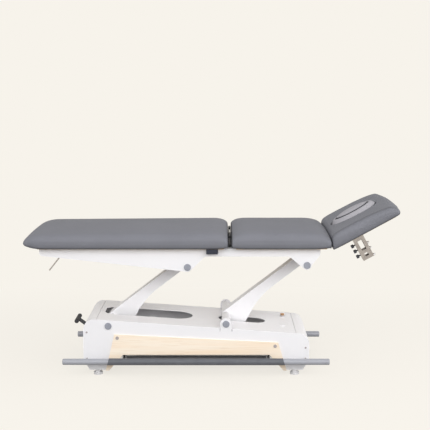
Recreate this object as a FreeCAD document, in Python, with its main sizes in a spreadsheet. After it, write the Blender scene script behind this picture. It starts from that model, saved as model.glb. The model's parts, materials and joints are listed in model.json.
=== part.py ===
import FreeCAD, Part
import math
import os
import re
import Sketcher

# Physiotherapy table: a hollow base, two parallel lifting arms, a level top frame and three padded sections.
# +X runs towards the head end, +Y to the far side and +Z up, with the origin on the floor under the middle.

# Driving dimensions, in millimetres and degrees
SIZES = {
    # Upholstery
    "pad_width": 650, "leg_pad_length": 1066, "mid_pad_length": 522, "head_pad_length": 390,
    "pad_gap": 17, "pad_band": 66, "pad_crown": 28, "pad_draw": 16, "pad_shoulder": 60,
    "foot_end_run": 96, "foot_end_corner": 42, "foot_end_low": 22, "foot_end_high": 36, "leg_pad_taper": 10,
    "joint_end_run": 80, "joint_end_corner": 10, "joint_end_low": 6, "joint_end_high": 62,
    "neck_end_run": 112, "neck_end_corner": 10, "neck_end_low": 6, "neck_end_high": 50, "mid_pad_taper": 0,
    "head_pad_height": 77, "head_pad_corner": 26, "head_pad_dish": 6, "head_pad_start": 4,
    "board_thickness": 18, "board_margin": 24, "leg_board_margin": 70, "mid_board_margin": 24,
    "board_play": 0.4, "top_height": 694, "seat_gap": 0.4,
    "head_tilt": 28.8, "head_pivot_out": 7, "head_pivot_drop": 10, "head_pad_rise": 2,
    "face_hole_length": 264, "face_hole_width": 204, "face_plug_length": 206, "face_plug_width": 124,
    "face_hole_place": 199, "face_ring_proud": 28, "face_plug_proud": 18, "face_plug_rise": 18,
    "face_play": 1, "face_ring_edge": 26, "face_plug_edge": 40, "breathing_margin": 14,
    "tab_length": 62, "tab_drop": 26, "tab_thickness": 2, "tab_inset": 84, "tab_set_in": 22,
    # Base housing
    "base_length": 1200, "base_width": 470, "base_setback": 80, "base_foot_height": 305,
    "base_head_height": 221, "sheet": 3, "panel_wall": 4, "base_corner": 55, "leg_clearance": 28,
    "leg_toe": 30, "leg_toe_rise": 52, "hoist_height": 112, "hoist_top_half": 393, "hoist_foot_half": 467,
    "panel_reveal": 2,
    "cover_overlap": 68, "cover_joint": 2, "end_cover_low": 90, "wood_thickness": 6, "wood_low": 25,
    "wood_foot": 17, "wood_top_half": 437, "wood_foot_top": 223, "wood_head_top": 179,
    "arm_slot_foot_start": 506, "arm_slot_foot_end": 26, "arm_slot_foot_width": 178,
    "arm_slot_corner": 58, "arm_slot_head_corner": 57, "arm_slot_head_start": 118,
    "arm_slot_head_end": 377, "arm_slot_head_width": 118,
    "lug_radius": 30.5, "lug_slit": 2.5, "lug_slit_depth": 14,
    "foot_place": 528, "foot_inset": 23, "foot_radius": 24, "foot_pad_height": 13, "foot_neck_radius": 15,
    "foot_plate_length": 80, "foot_plate_width": 56, "foot_plate_thickness": 6,
    "screw_radius": 5, "screw_head": 3, "wood_screw_radius": 9, "screw_margin": 16,
    "cross_tube": 40, "cross_tube_wall": 3, "foot_tube_place": 405, "foot_tube_height": 150,
    "head_tube_place": 500, "head_tube_height": 80, "motor_tube_place": 262,
    # Lift
    "arm_length": 535, "arm_angle": 37.4, "pivot_spacing": 628, "pivot_rise": 11,
    "foot_pivot_place": 469, "foot_pivot_height": 268, "arm_width": 80, "arm_wall": 4,
    "arm_upper_edge": 26, "arm_lower_edge": 25, "arm_knee": 92, "arm_knee_place": 66, "arm_bend_place": 209,
    "arm_bend_radius": 420, "arm_heel": 26, "hub_radius": 23, "hub_side_gap": 2, "upper_hub_gap": 6,
    "shaft_radius": 12, "shaft_play": 0.05, "cap_radius": 18.5, "cap_height": 6, "cap_round": 2,
    "lever_arm": 90, "lever_width": 34, "lever_gap": 34, "lever_plate": 8, "lever_pin_radius": 6,
    "actuator_radius": 26, "actuator_length": 290, "actuator_clear": 70, "actuator_rod_radius": 10,
    "gearbox_length": 90, "gearbox_width": 96, "gearbox_height": 84, "motor_radius": 31, "motor_length": 150,
    "rod_eye_radius": 24, "rod_eye_width": 20, "eye_slot_play": 2.5, "eye_slot_height": 12,
    "control_box_length": 170, "control_box_width": 78, "control_box_height": 60,
    "control_box_place": 60, "control_box_low": 128, "control_box_round": 6,
    # Small fittings on the cover
    "lock_place": 480, "lock_inset": 105, "lock_ring_radius": 14, "lock_ring_height": 7, "lock_sink": 1.5,
    "key_radius": 8, "key_height": 9, "key_blade": 22, "key_blade_thickness": 4,
    "key_play": 0.5, "key_lift": 1.5,
    "socket_place": 470, "socket_inset": 147, "socket_length": 26, "socket_width": 14, "socket_height": 4,
    # Foot bars
    "bar_length": 1414, "bar_radius": 16.5, "bar_wall": 2, "bar_standoff": 55, "bar_height": 88,
    "bar_end_round": 5, "sleeve_half": 466, "sleeve_wall": 1.5, "sleeve_slant": 5, "rocker_shaft_inset": 30,
    "rocker_shaft_height": 88, "rocker_shaft_radius": 7, "rocker_half": 392, "rocker_plate": 8,
    "rocker_width": 20, "hanger_plate": 8, "hanger_gap": 3, "hanger_rise": 60, "hanger_eye": 15,
    # Pedal and transport wheels
    "pedal_place": 462, "pedal_height": 104, "pedal_reach": 199, "pedal_lift": 149, "pedal_stem_radius": 10,
    "pedal_shaft_radius": 10, "pedal_shaft_gap": 3, "pedal_boss_radius": 18, "pedal_boss_width": 34,
    "grip_radius": 12, "grip_length": 146, "grip_round": 9, "pedal_slot_width": 28, "pedal_slot_low": 100,
    "pedal_slot_high": 232, "wheel_crank": 57, "wheel_drop": 57, "wheel_radius": 35, "wheel_width": 28,
    "wheel_inset": 95, "wheel_hub_radius": 14, "wheel_web": 10, "wheel_pin_radius": 6, "crank_plate": 8,
    "crank_width": 30, "wheel_side_gap": 2, "bearing_radius": 20, "bearing_length": 28,
    # Top frame
    "beam_inset": 55, "beam_depth": 36, "beam_wall": 5, "beam_foot_reach": 776, "beam_head_reach": 697,
    "beam_foot_depth": 40, "beam_foot_nose": 10, "rail_depth": 43, "rail_foot_start": 93,
    "rail_head_end": 534, "lug_outer": 24, "lug_head_shoulder": 34, "frame_tube": 28, "frame_tube_wall": 2.5,
    "frame_tube_drop": 3, "foot_frame_tube": 592, "mid_frame_tube": 300, "head_frame_tube": 664,
    # Section hinges and the release lever
    "hinge_inset": 175, "hinge_width": 60, "hinge_leaf": 5, "hinge_strap": 190, "leg_pin_height": 740,
    "leg_knuckle": 6.5, "leg_pin_radius": 3.5, "knuckle_gap": 0.5, "head_knuckle": 8, "head_pin_radius": 4.5,
    "head_strap": 110, "pin_play": 0.05,
    "lever_place": 866, "lever_inset": 113, "lever_pivot_drop": 13, "lever_radius": 3.5, "lever_run": 92,
    "lever_fall": 116, "lever_boss_radius": 8, "lever_boss_width": 12, "lever_fork": 5,
    "lever_bracket_length": 26, "lever_pin": 3, "lever_end_round": 3,
    # Bracket under the head section
    "bracket_place": 157, "bracket_length": 64, "bracket_width": 56, "bracket_depth": 188, "bracket_wall": 4,
    "bracket_flange": 120, "bracket_flange_width": 110, "bracket_flange_thickness": 5, "window_length": 26,
    "window_height": 58, "window_top": 76, "small_window": 20, "small_window_top": 152,
    "knob_radius": 10, "knob_length": 16, "knob_stud_radius": 4, "knob_stud": 8, "knob_round": 3,
    "bolt_radius": 4, "bolt_head_radius": 7, "bolt_head": 6, "knob_step": 32, "knob_top": 92, "bolt_top": 108,
    "bolt_step": 38, "bolt_side": 15,
    # One overrun serves every cut
    "overrun": 20,
}

# The tips of a padded end are round: shares of the end's run, from the tip inwards
END_RUN_SHARES = (0.0, 0.08, 0.3, 0.62, 1.0)
# The upright side is widest at this share of the band, and the shoulder ends at this share of the crown
SIDE_SHARE = 0.5
SHOULDER_SHARE = 0.55
# The fork of the lifting lever opens at this share of the lever's length
FORK_START_SHARE = 0.4
# Points that the lower and upper side arcs pass through, as shares of the arc's width and height
LOWER_ARC_SHARES = (0.2, 0.42)
UPPER_ARC_SHARES = (0.2, 0.7)
# Head pad along its length: place, top height, drawn-in width and lean of each section, as shares
HEAD_STATION_SHARES = (
    (0.0, 0.84, 0.62, 0.7),
    (0.015, 0.92, 0.35, 0.7),
    (0.06, 0.98, 0.1, 0.7),
    (0.16, 1.0, 0.0, 0.5),
    (0.3, 1.0, 0.0, 0.2),
    (0.55, 1.0, 0.0, 0.0),
    (0.74, 0.94, 0.0, 0.0),
    (0.86, 0.85, 0.05, 0.0),
    (0.93, 0.73, 0.16, 0.0),
    (0.965, 0.57, 0.36, 0.0),
)
# The lip at the far end of the head pad: place, low and high edge, drawn-in width
HEAD_LIP_SHARES = ((0.975, 0.0, 0.4, 0.46), (0.99, 0.04, 0.37, 0.56), (1.0, 0.12, 0.3, 0.8))
# Crowned face cushions: height of each ring and how far it is drawn in
CROWN_SHARES = ((0.0, 0.0), (0.45, 0.06), (0.8, 0.35), (1.0, 1.0))

# Directions, in degrees, where a beam's straight edges meet the round of each pivot lug, and one between them
LUG_TURNS = {"head": (0, -63, -127), "foot": (-53, -75, -96)}

NEAR = -1
FAR = 1
SIDES = (("near", NEAR), ("far", FAR))

doc = FreeCAD.newDocument("physiotherapy_table")
sheet = doc.addObject("Spreadsheet::Sheet", "Sizes")
for row, (alias, value) in enumerate(SIZES.items(), start=1):
    sheet.set(f"A{row}", alias)
    sheet.set(f"B{row}", str(value))
    sheet.setAlias(f"B{row}", alias)
doc.recompute()

subparts = []


def size(name):
    """Value of one driving dimension."""
    return float(sheet.get(name))


def bound(text):
    """Expression on the sheet's cells, from a formula in their plain names."""
    return re.sub(r"[a-z]+(?:_[a-z]+)*", lambda word: "Sizes." + word.group(0), str(text))


def keep(piece, label):
    """Names a finished sub-part, which is then checked and written."""
    piece.Label = label
    subparts.append(piece)
    return piece


def place(piece, x=0.0, y=0.0, z=0.0, tilt=0.0):
    """Moves a piece to its seat; a tilt raises its +X side."""
    turn = FreeCAD.Rotation(FreeCAD.Vector(0, -1, 0), tilt)
    piece.Placement = FreeCAD.Placement(FreeCAD.Vector(x, y, z), turn)
    return piece


# Sketch and feature helpers

def new_body(label):
    return keep(doc.addObject("PartDesign::Body", label), label)


def new_sketch(body, plane="XZ_Plane"):
    sketch = body.newObject("Sketcher::SketchObject", "sketch")
    support = next(item for item in body.Origin.OriginFeatures if item.Role == plane)
    sketch.AttachmentSupport = [(support, "")]
    sketch.MapMode = "FlatFace"
    return sketch


def bind(sketch, constraint, formula):
    sketch.setExpression(f"Constraints[{sketch.addConstraint(constraint)}]", bound(formula))


def polygon(sketch, corners):
    """Closed outline whose corners are bound to formulas on the sheet."""
    first = sketch.GeometryCount
    count = len(corners)
    turns = [2 * math.pi * i / count for i in range(count)]
    starts = [FreeCAD.Vector(math.cos(turn), math.sin(turn), 0) * size("overrun") for turn in turns]
    for i in range(count):
        sketch.addGeometry(Part.LineSegment(starts[i], starts[(i + 1) % count]))
    for i in range(count):
        sketch.addConstraint(Sketcher.Constraint("Coincident", first + i, 2, first + (i + 1) % count, 1))
    for i, (across, up) in enumerate(corners):
        bind(sketch, Sketcher.Constraint("DistanceX", first + i, 1, starts[i].x), across)
        bind(sketch, Sketcher.Constraint("DistanceY", first + i, 1, starts[i].y), up)
    return sketch


def rectangle(sketch, left, right, low, high):
    return polygon(sketch, [(left, low), (right, low), (right, high), (left, high)])


def circle(sketch, across, up, radius):
    index = sketch.addGeometry(Part.Circle(FreeCAD.Vector(), FreeCAD.Vector(0, 0, 1), size("overrun")))
    bind(sketch, Sketcher.Constraint("Radius", index, size("overrun")), radius)
    bind(sketch, Sketcher.Constraint("DistanceX", index, 3, size("overrun")), across)
    bind(sketch, Sketcher.Constraint("DistanceY", index, 3, size("overrun")), up)
    return sketch


def pad(body, sketch, length, both_ways=False, backwards=False):
    feature = body.newObject("PartDesign::Pad", "pad")
    feature.Profile = sketch
    feature.setExpression("Length", bound(length))
    feature.SideType = "Symmetric" if both_ways else "One side"
    feature.Reversed = backwards
    return feature


def pocket(body, sketch, length=None):
    """Cut both ways from the sketch: right through, or over a stated width."""
    feature = body.newObject("PartDesign::Pocket", "pocket")
    feature.Profile = sketch
    feature.SideType = "Symmetric"
    if length is None:
        feature.Type = "ThroughAll"
    else:
        feature.setExpression("Length", bound(length))
    return feature


def round_edges(body, radius, wanted):
    """Rounds the edges that a test on their end points picks out."""
    doc.recompute()
    solid = body.Tip
    names = [f"Edge{i}" for i, edge in enumerate(solid.Shape.Edges, start=1) if wanted(edge)]
    feature = body.newObject("PartDesign::Fillet", "fillet")
    feature.Base = (solid, names)
    feature.setExpression("Radius", bound(radius))
    return feature


def runs_across(x, z):
    """Test for an edge along Y that passes a given place of the side view."""
    def test(edge):
        return all(math.hypot(point.X - x, point.Z - z) < size("seat_gap") for point in edge.Vertexes)
    return test


# Primitive helpers

def rod(name, radius, length):
    piece = doc.addObject("Part::Cylinder", name)
    piece.setExpression("Radius", bound(radius))
    piece.setExpression("Height", bound(length))
    return piece


def aim(piece, start, direction):
    """Stands a rod on a point, along a direction."""
    turn = FreeCAD.Rotation(FreeCAD.Vector(0, 0, 1), FreeCAD.Vector(*direction))
    piece.Placement = FreeCAD.Placement(FreeCAD.Vector(*start), turn)
    return piece


def cross_rod(name, radius, length, x, z, y=0.0):
    """Rod along Y, centred on y."""
    piece = rod(name, radius, length)
    doc.recompute()
    return aim(piece, (x, y - piece.Height.Value / 2, z), (0, 1, 0))


def block(name, length, width, height, centre_x, centre_y, low_z):
    """Box that stands on a height, centred in plan."""
    piece = doc.addObject("Part::Box", name)
    for side, formula in (("Length", length), ("Width", width), ("Height", height)):
        piece.setExpression(side, bound(formula))
    doc.recompute()
    return place(piece, centre_x - piece.Length.Value / 2, centre_y - piece.Width.Value / 2, low_z)


def fuse(name, pieces):
    result = doc.addObject("Part::MultiFuse", name)
    result.Shapes = pieces
    result.Refine = True
    return result


def cut(name, base, tool):
    result = doc.addObject("Part::Cut", name)
    result.Base = base
    result.Tool = tool
    return result


def group(label, pieces):
    result = doc.addObject("Part::Compound", label)
    result.Links = pieces
    return keep(result, label)


def softened(name, base, radius, wanted):
    """Part fillet of the edges that a test picks out."""
    doc.recompute()
    result = doc.addObject("Part::Fillet", name)
    result.Base = base
    names = [i for i, edge in enumerate(base.Shape.Edges, start=1) if wanted(edge)]
    result.Edges = [(i, radius, radius) for i in names]
    return result


def shaped(label, solid):
    """Sub-part whose form no feature gives; its sizes are read from the sheet."""
    piece = doc.addObject("Part::Feature", label)
    piece.Shape = solid
    return keep(piece, label)


def round_edge(edge):
    return isinstance(edge.Curve, Part.Circle)


# Places that several pieces share

half_width = size("base_width") / 2
pad_half = size("pad_width") / 2
beam_side = pad_half - size("beam_inset")
hinge_side = pad_half - size("hinge_inset")
lever_side = pad_half - size("lever_inset")
bar_side = half_width + size("bar_standoff")
rocker_shaft_side = half_width - size("rocker_shaft_inset")
wheel_side = half_width - size("wheel_inset")
lock_side = half_width - size("lock_inset")
socket_side = half_width - size("socket_inset")
beam_text = "(pad_width / 2 - beam_inset)"
panel_inner = half_width - size("panel_wall")
base_x = -size("base_setback")
tilt = size("head_tilt")
tilt_cos = math.cos(math.radians(tilt))
tilt_sin = math.sin(math.radians(tilt))
arm_cos = math.cos(math.radians(size("arm_angle")))
arm_sin = math.sin(math.radians(size("arm_angle")))
top = size("top_height")

head_reach = size("head_pivot_out") + (size("head_pad_start") + size("head_pad_length")) * tilt_cos
head_reach -= (size("head_pad_rise") + HEAD_LIP_SHARES[-1][1] * size("head_pad_height")) * tilt_sin
overall = size("leg_pad_length") + size("pad_gap") + size("mid_pad_length") + head_reach
leg_start = -overall / 2
leg_end = leg_start + size("leg_pad_length")
mid_start = leg_end + size("pad_gap")
mid_end = mid_start + size("mid_pad_length")
gap_x = (leg_end + mid_start) / 2
head_x = mid_end + size("head_pivot_out")
head_z = top - size("head_pivot_drop")

pivots = {"foot": (base_x - size("foot_pivot_place"), size("foot_pivot_height"))}
pivots["head"] = (pivots["foot"][0] + size("pivot_spacing"), pivots["foot"][1] + size("pivot_rise"))
upper_pivots = {}
for end, (x, z) in pivots.items():
    upper_pivots[end] = (x + size("arm_length") * arm_cos, z + size("arm_length") * arm_sin)
frame_x = upper_pivots["foot"][0]
frame_top = top - size("seat_gap")
cover_slope = (size("base_head_height") - size("base_foot_height")) / size("base_length")


def cover_top(x):
    """Height of the sloping cover's upper face at a place along the base."""
    along = x - base_x + size("base_length") / 2
    return size("base_foot_height") + size("sheet") + along * cover_slope


def on_head(u, v, y=0.0):
    """Point of the tilted head section, from the hinge along and square to its board."""
    return (head_x + u * tilt_cos - v * tilt_sin, y, head_z + u * tilt_sin + v * tilt_cos)


head_along = (tilt_cos, 0, tilt_sin)

# Formulas of the side view of the base, measured from its middle on the floor
slope_text = "((base_head_height - base_foot_height) / base_length)"
pivot_text = "(pivot_spacing - foot_pivot_place)"
lug_text = "(foot_pivot_height + pivot_rise)"


def slope_at(across):
    return f"base_foot_height + ({across} + base_length / 2) * {slope_text}"


# Base: side panels

def base_side(name, side):
    """Sheet panel with two legs, the hoist gap between them and the raised lug of the head pivot."""
    body = new_body(f"base_side_{name}")
    backwards = side == FAR
    outline = polygon(new_sketch(body), [
        ("-base_length / 2", "leg_clearance + leg_toe_rise"),
        ("-base_length / 2", "base_foot_height"),
        ("base_length / 2", "base_head_height"),
        ("base_length / 2", "leg_clearance + leg_toe_rise"),
        ("base_length / 2 - leg_toe", "leg_clearance"),
        ("hoist_foot_half + panel_reveal", "leg_clearance"),
        ("hoist_top_half + panel_reveal", "hoist_height + panel_reveal"),
        ("-hoist_top_half - panel_reveal", "hoist_height + panel_reveal"),
        ("-hoist_foot_half - panel_reveal", "leg_clearance"),
        ("-base_length / 2 + leg_toe", "leg_clearance"),
    ])
    pad(body, outline, "panel_wall", backwards=backwards)
    half = size("base_length") / 2
    corners = ((-half, size("base_foot_height")), (half, size("base_head_height")))
    round_edges(body, "base_corner", lambda edge: any(runs_across(*spot)(edge) for spot in corners))
    slits = new_sketch(body)
    for way in ("-", "+"):
        inner = f"{pivot_text} {way} lug_radius"
        outer = f"{pivot_text} {way} (lug_radius + lug_slit)"
        low, high = f"{slope_at(pivot_text)} - lug_slit_depth", lug_text
        rectangle(slits, inner, outer, low, high)
    pocket(body, slits)
    lug = rectangle(new_sketch(body), f"{pivot_text} - lug_radius", f"{pivot_text} + lug_radius",
                    f"{slope_at(pivot_text)} - lug_slit_depth", lug_text)
    pad(body, lug, "panel_wall", backwards=backwards)
    pad(body, circle(new_sketch(body), pivot_text, lug_text, "lug_radius"), "panel_wall", backwards=backwards)
    for across, up in (("-foot_pivot_place", "foot_pivot_height"), (pivot_text, lug_text)):
        pocket(body, circle(new_sketch(body), across, up, "shaft_radius"))
    place(body, base_x, side * panel_inner)


for name, side in SIDES:
    base_side(name, side)


# Base: sloping cover with the slots that the arms fold into

def base_cover():
    body = new_body("base_cover")
    start = "(-base_length / 2 + cover_overlap)"
    end = "(base_length / 2 - cover_overlap)"
    section = polygon(new_sketch(body), [
        (start, slope_at(start)),
        (end, slope_at(end)),
        (end, slope_at(end) + " + sheet"),
        (start, slope_at(start) + " + sheet"),
    ])
    pad(body, section, "base_width", both_ways=True)
    for start, end, width, corner in (
            ("-arm_slot_foot_start", "-arm_slot_foot_end", "arm_slot_foot_width", "arm_slot_corner"),
            ("arm_slot_head_start", "arm_slot_head_end", "arm_slot_head_width", "arm_slot_head_corner")):
        half = f"{width} / 2"
        straight = f"{end} - {half}"
        rectangles = ((f"{start} + {corner}", straight, half), (start, straight, f"({half} - {corner})"))
        for left, right, reach in rectangles:
            pocket(body, rectangle(new_sketch(body, "XY_Plane"), left, right, f"-{reach}", reach))
        pocket(body, circle(new_sketch(body, "XY_Plane"), f"{end} - {half}", "0", half))
        for way in ("-", "+"):
            pocket(body, circle(new_sketch(body, "XY_Plane"), f"{start} + {corner}",
                                f"0 {way} ({half} - {corner})", corner))
    notches = new_sketch(body, "XY_Plane")
    for low, high in (("-base_width / 2 - overrun", "-base_width / 2 + panel_wall + hub_side_gap"),
                      ("base_width / 2 - panel_wall - hub_side_gap", "base_width / 2 + overrun")):
        rectangle(notches, f"{pivot_text} - lug_radius - lug_slit", f"{pivot_text} + lug_radius + lug_slit",
                  low, high)
    pocket(body, notches)
    place(body, base_x)


base_cover()


# Base: bent end covers, the foot one slotted for the pedal

def base_end(end, way, height):
    """Sheet bent round the end of the base, from the cover's edge down between the legs."""
    body = new_body(f"base_end_{end}")
    inner = f"{way} (cover_overlap - cover_joint)"
    edge = "-base_length / 2" if way == "+" else "base_length / 2"
    out = "-" if way == "+" else "+"
    joint = f"({edge} {inner})"
    section = polygon(new_sketch(body), [
        (joint, slope_at(joint)),
        (edge, height),
        (edge, "end_cover_low"),
        (f"{edge} {out} sheet", "end_cover_low"),
        (f"{edge} {out} sheet", f"{height} + sheet"),
        (joint, slope_at(joint) + " + sheet"),
    ])
    pad(body, section, "base_width", both_ways=True)
    sign = -1 if way == "+" else 1
    x, z = sign * size("base_length") / 2, size(height)
    round_edges(body, "base_corner", runs_across(x, z))
    round_edges(body, "base_corner + sheet", runs_across(x + sign * size("sheet"), z + size("sheet")))
    if end == "foot":
        slot = rectangle(new_sketch(body, "YZ_Plane"), "-pedal_slot_width / 2", "pedal_slot_width / 2",
                         "pedal_slot_low", "pedal_slot_high")
        feature = pocket(body, slot)
        feature.SideType = "One side"
        feature.Reversed = False
    place(body, base_x)


base_end("foot", "+", "base_foot_height")
base_end("head", "-", "base_head_height")


# Base: birch facing panels

def wood_panel(name, side):
    body = new_body(f"wood_panel_{name}")
    outline = polygon(new_sketch(body), [
        ("-wood_top_half", "wood_foot_top"),
        ("wood_top_half", "wood_head_top"),
        ("hoist_foot_half + wood_foot", "wood_low"),
        ("hoist_foot_half", "wood_low"),
        ("hoist_top_half", "hoist_height"),
        ("-hoist_top_half", "hoist_height"),
        ("-hoist_foot_half", "wood_low"),
        ("-hoist_foot_half - wood_foot", "wood_low"),
    ])
    pad(body, outline, "wood_thickness", backwards=side == FAR)
    place(body, base_x, side * half_width)


for name, side in SIDES:
    wood_panel(name, side)


# Base: screws in the facings and the panels, one group

def base_screws():
    margin = size("screw_margin")
    half = size("base_length") / 2
    wood_spots = ((-size("wood_top_half") + margin, size("wood_foot_top") - margin - size("screw_head")),
                  (size("wood_top_half") - margin, size("wood_head_top") - margin - size("screw_head")))
    panel_spots = []
    for way, height in ((-1, "base_foot_height"), (1, "base_head_height")):
        across = way * (half - margin)
        panel_spots.append((across, size(height) - size("base_corner") - margin))
        panel_spots.append((across, size("end_cover_low")))
    screws = []
    for name, side in SIDES:
        for spots, radius, seat in ((wood_spots, "wood_screw_radius", half_width + size("wood_thickness")),
                                    (panel_spots, "screw_radius", half_width)):
            for across, up in spots:
                screw = rod("screw", radius, "screw_head")
                aim(screw, (base_x + across, side * seat, up), (0, side, 0))
                screws.append(screw)
    group("base_screws", screws)


base_screws()


# Base: welded cross tubes, foot plates and the motor's rear bracket

def tube_across(name, side_length, wall, length, x, z):
    """Square tube along Y, centred on a height."""
    outer = block(name, side_length, length, side_length, x, 0.0, z - size(side_length) / 2)
    hollow = f"{side_length} - 2 * {wall}"
    inner = block(name + "_bore", hollow, f"{length} + overrun", hollow,
                  x, 0.0, z - size(side_length) / 2 + size(wall))
    return cut(name + "_tube", outer, inner)


rod_height = pivots["head"][1] - size("lever_arm")
actuator_end = pivots["head"][0] - size("actuator_clear")
actuator_start = actuator_end - size("actuator_length")
motor_tube_x = base_x - size("motor_tube_place")


def base_frame():
    inside = "base_width - 2 * panel_wall"
    tubes = [tube_across("foot_tube", "cross_tube", "cross_tube_wall", inside,
                         base_x - size("foot_tube_place"), size("foot_tube_height")),
             tube_across("head_tube", "cross_tube", "cross_tube_wall", inside,
                         base_x + size("head_tube_place"), size("head_tube_height")),
             tube_across("motor_tube", "cross_tube", "cross_tube_wall", inside, motor_tube_x, rod_height)]
    plates = []
    for way in (-1, 1):
        for side in (NEAR, FAR):
            y = side * (panel_inner - size("foot_plate_width") / 2)
            plates.append(block("foot_plate", "foot_plate_length", "foot_plate_width", "foot_plate_thickness",
                                base_x + way * size("foot_place"), y, size("leg_clearance")))
    bracket_start = motor_tube_x + size("cross_tube") / 2
    bracket_length = actuator_start - bracket_start
    bracket = doc.addObject("Part::Box", "motor_bracket")
    bracket.Length = bracket_length
    bracket.setExpression("Width", bound("gearbox_width"))
    bracket.setExpression("Height", bound("cross_tube"))
    place(bracket, bracket_start, -size("gearbox_width") / 2, rod_height - size("cross_tube") / 2)
    group("base_frame", tubes + plates + [bracket])


base_frame()


# Base: levelling feet

def levelling_feet():
    feet = []
    for way in (-1, 1):
        for side in (NEAR, FAR):
            spot = (base_x + way * size("foot_place"), side * (half_width - size("foot_inset")))
            sole = rod("foot_sole", "foot_radius", "foot_pad_height")
            place(sole, *spot)
            neck = rod("foot_neck", "foot_neck_radius", "leg_clearance")
            place(neck, *spot)
            feet.append(fuse("foot", [sole, neck]))
    group("levelling_feet", feet)


levelling_feet()


# Pivot shafts and their caps

def shafts_and_caps(label, spots, outer_text, outer):
    shafts = [cross_rod("shaft", "shaft_radius", outer_text, x, z) for x, z in spots]
    group(label + "_shafts", shafts)
    caps = []
    for x, z in spots:
        for side in (NEAR, FAR):
            cap = rod("cap", "cap_radius", "cap_height")
            aim(cap, (x, side * outer, z), (0, side, 0))
            far_edge = side * (outer + size("cap_height"))
            rim = softened("cap_rim", cap, size("cap_round"),
                           lambda edge, far_edge=far_edge: round_edge(edge)
                           and abs(edge.Curve.Center.y - far_edge) < size("seat_gap"))
            caps.append(rim)
    group(label + "_caps", caps)


shafts_and_caps("lower", list(pivots.values()), "base_width", half_width)
shafts_and_caps("upper", list(upper_pivots.values()), f"2 * {beam_text}", beam_side)


# Lifting arms: folded channels that widen to a knee, on a long lower hub and an upper hub

def lift_arm(end):
    body = new_body(f"lift_arm_{end}")
    outline = polygon(new_sketch(body), [
        ("-arm_heel", "0"),
        ("0", "arm_upper_edge"),
        ("arm_length", "arm_upper_edge"),
        ("arm_length", "-arm_lower_edge"),
        ("arm_bend_place", "-arm_lower_edge"),
        ("arm_knee_place", "-arm_knee"),
        ("0", "-arm_knee + arm_heel"),
    ])
    pad(body, outline, "arm_width", both_ways=True)
    round_edges(body, "arm_bend_radius", runs_across(size("arm_bend_place"), -size("arm_lower_edge")))
    hollow = polygon(new_sketch(body), [
        ("-arm_heel - overrun", "-arm_knee - overrun"),
        ("-arm_heel - overrun", "0"),
        ("arm_wall", "arm_upper_edge - arm_wall"),
        ("arm_length + overrun", "arm_upper_edge - arm_wall"),
        ("arm_length + overrun", "-arm_knee - overrun"),
    ])
    pocket(body, hollow, "arm_width - 2 * arm_wall")
    pad(body, circle(new_sketch(body), "0", "0", "hub_radius"),
        "base_width - 2 * panel_wall - 2 * hub_side_gap", both_ways=True)
    pad(body, circle(new_sketch(body), "arm_length", "0", "hub_radius"),
        f"2 * {beam_text} - 2 * beam_depth - 2 * upper_hub_gap", both_ways=True)
    if end == "head":
        lever_s = f"-lever_arm * {arm_sin:.6f}"
        lever_n = f"-lever_arm * {arm_cos:.6f}"
        side_s = f"lever_width / 2 * {arm_cos:.6f}"
        side_n = f"lever_width / 2 * {arm_sin:.6f}"
        lever = polygon(new_sketch(body), [
            (f"-({side_s})", side_n),
            (f"{lever_s} - {side_s}", f"{lever_n} + {side_n}"),
            (f"{lever_s} + {side_s}", f"{lever_n} - {side_n}"),
            (side_s, f"-({side_n})"),
        ])
        pad(body, lever, "lever_gap + 2 * lever_plate", both_ways=True)
        pad(body, circle(new_sketch(body), lever_s, lever_n, "lever_width / 2"),
            "lever_gap + 2 * lever_plate", both_ways=True)
        start, beyond = f"* {FORK_START_SHARE}", "* 2"
        fork = polygon(new_sketch(body), [
            (f"{lever_s} {start} - {side_s} {beyond}", f"{lever_n} {start} + {side_n} {beyond}"),
            (f"{lever_s} {beyond} - {side_s} {beyond}", f"{lever_n} {beyond} + {side_n} {beyond}"),
            (f"{lever_s} {beyond} + {side_s} {beyond}", f"{lever_n} {beyond} - {side_n} {beyond}"),
            (f"{lever_s} {start} + {side_s} {beyond}", f"{lever_n} {start} - {side_n} {beyond}"),
        ])
        pocket(body, fork, "lever_gap")
        pad(body, circle(new_sketch(body), lever_s, lever_n, "lever_pin_radius"), "lever_gap + lever_plate",
            both_ways=True)
    for across in ("0", "arm_length"):
        pocket(body, circle(new_sketch(body), across, "0", "shaft_radius + shaft_play"))
    x, z = pivots[end]
    place(body, x, 0.0, z, size("arm_angle"))


for end in pivots:
    lift_arm(end)


# Lifting motor: gearbox, motor and guide tube in one housing, with a sliding rod

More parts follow.
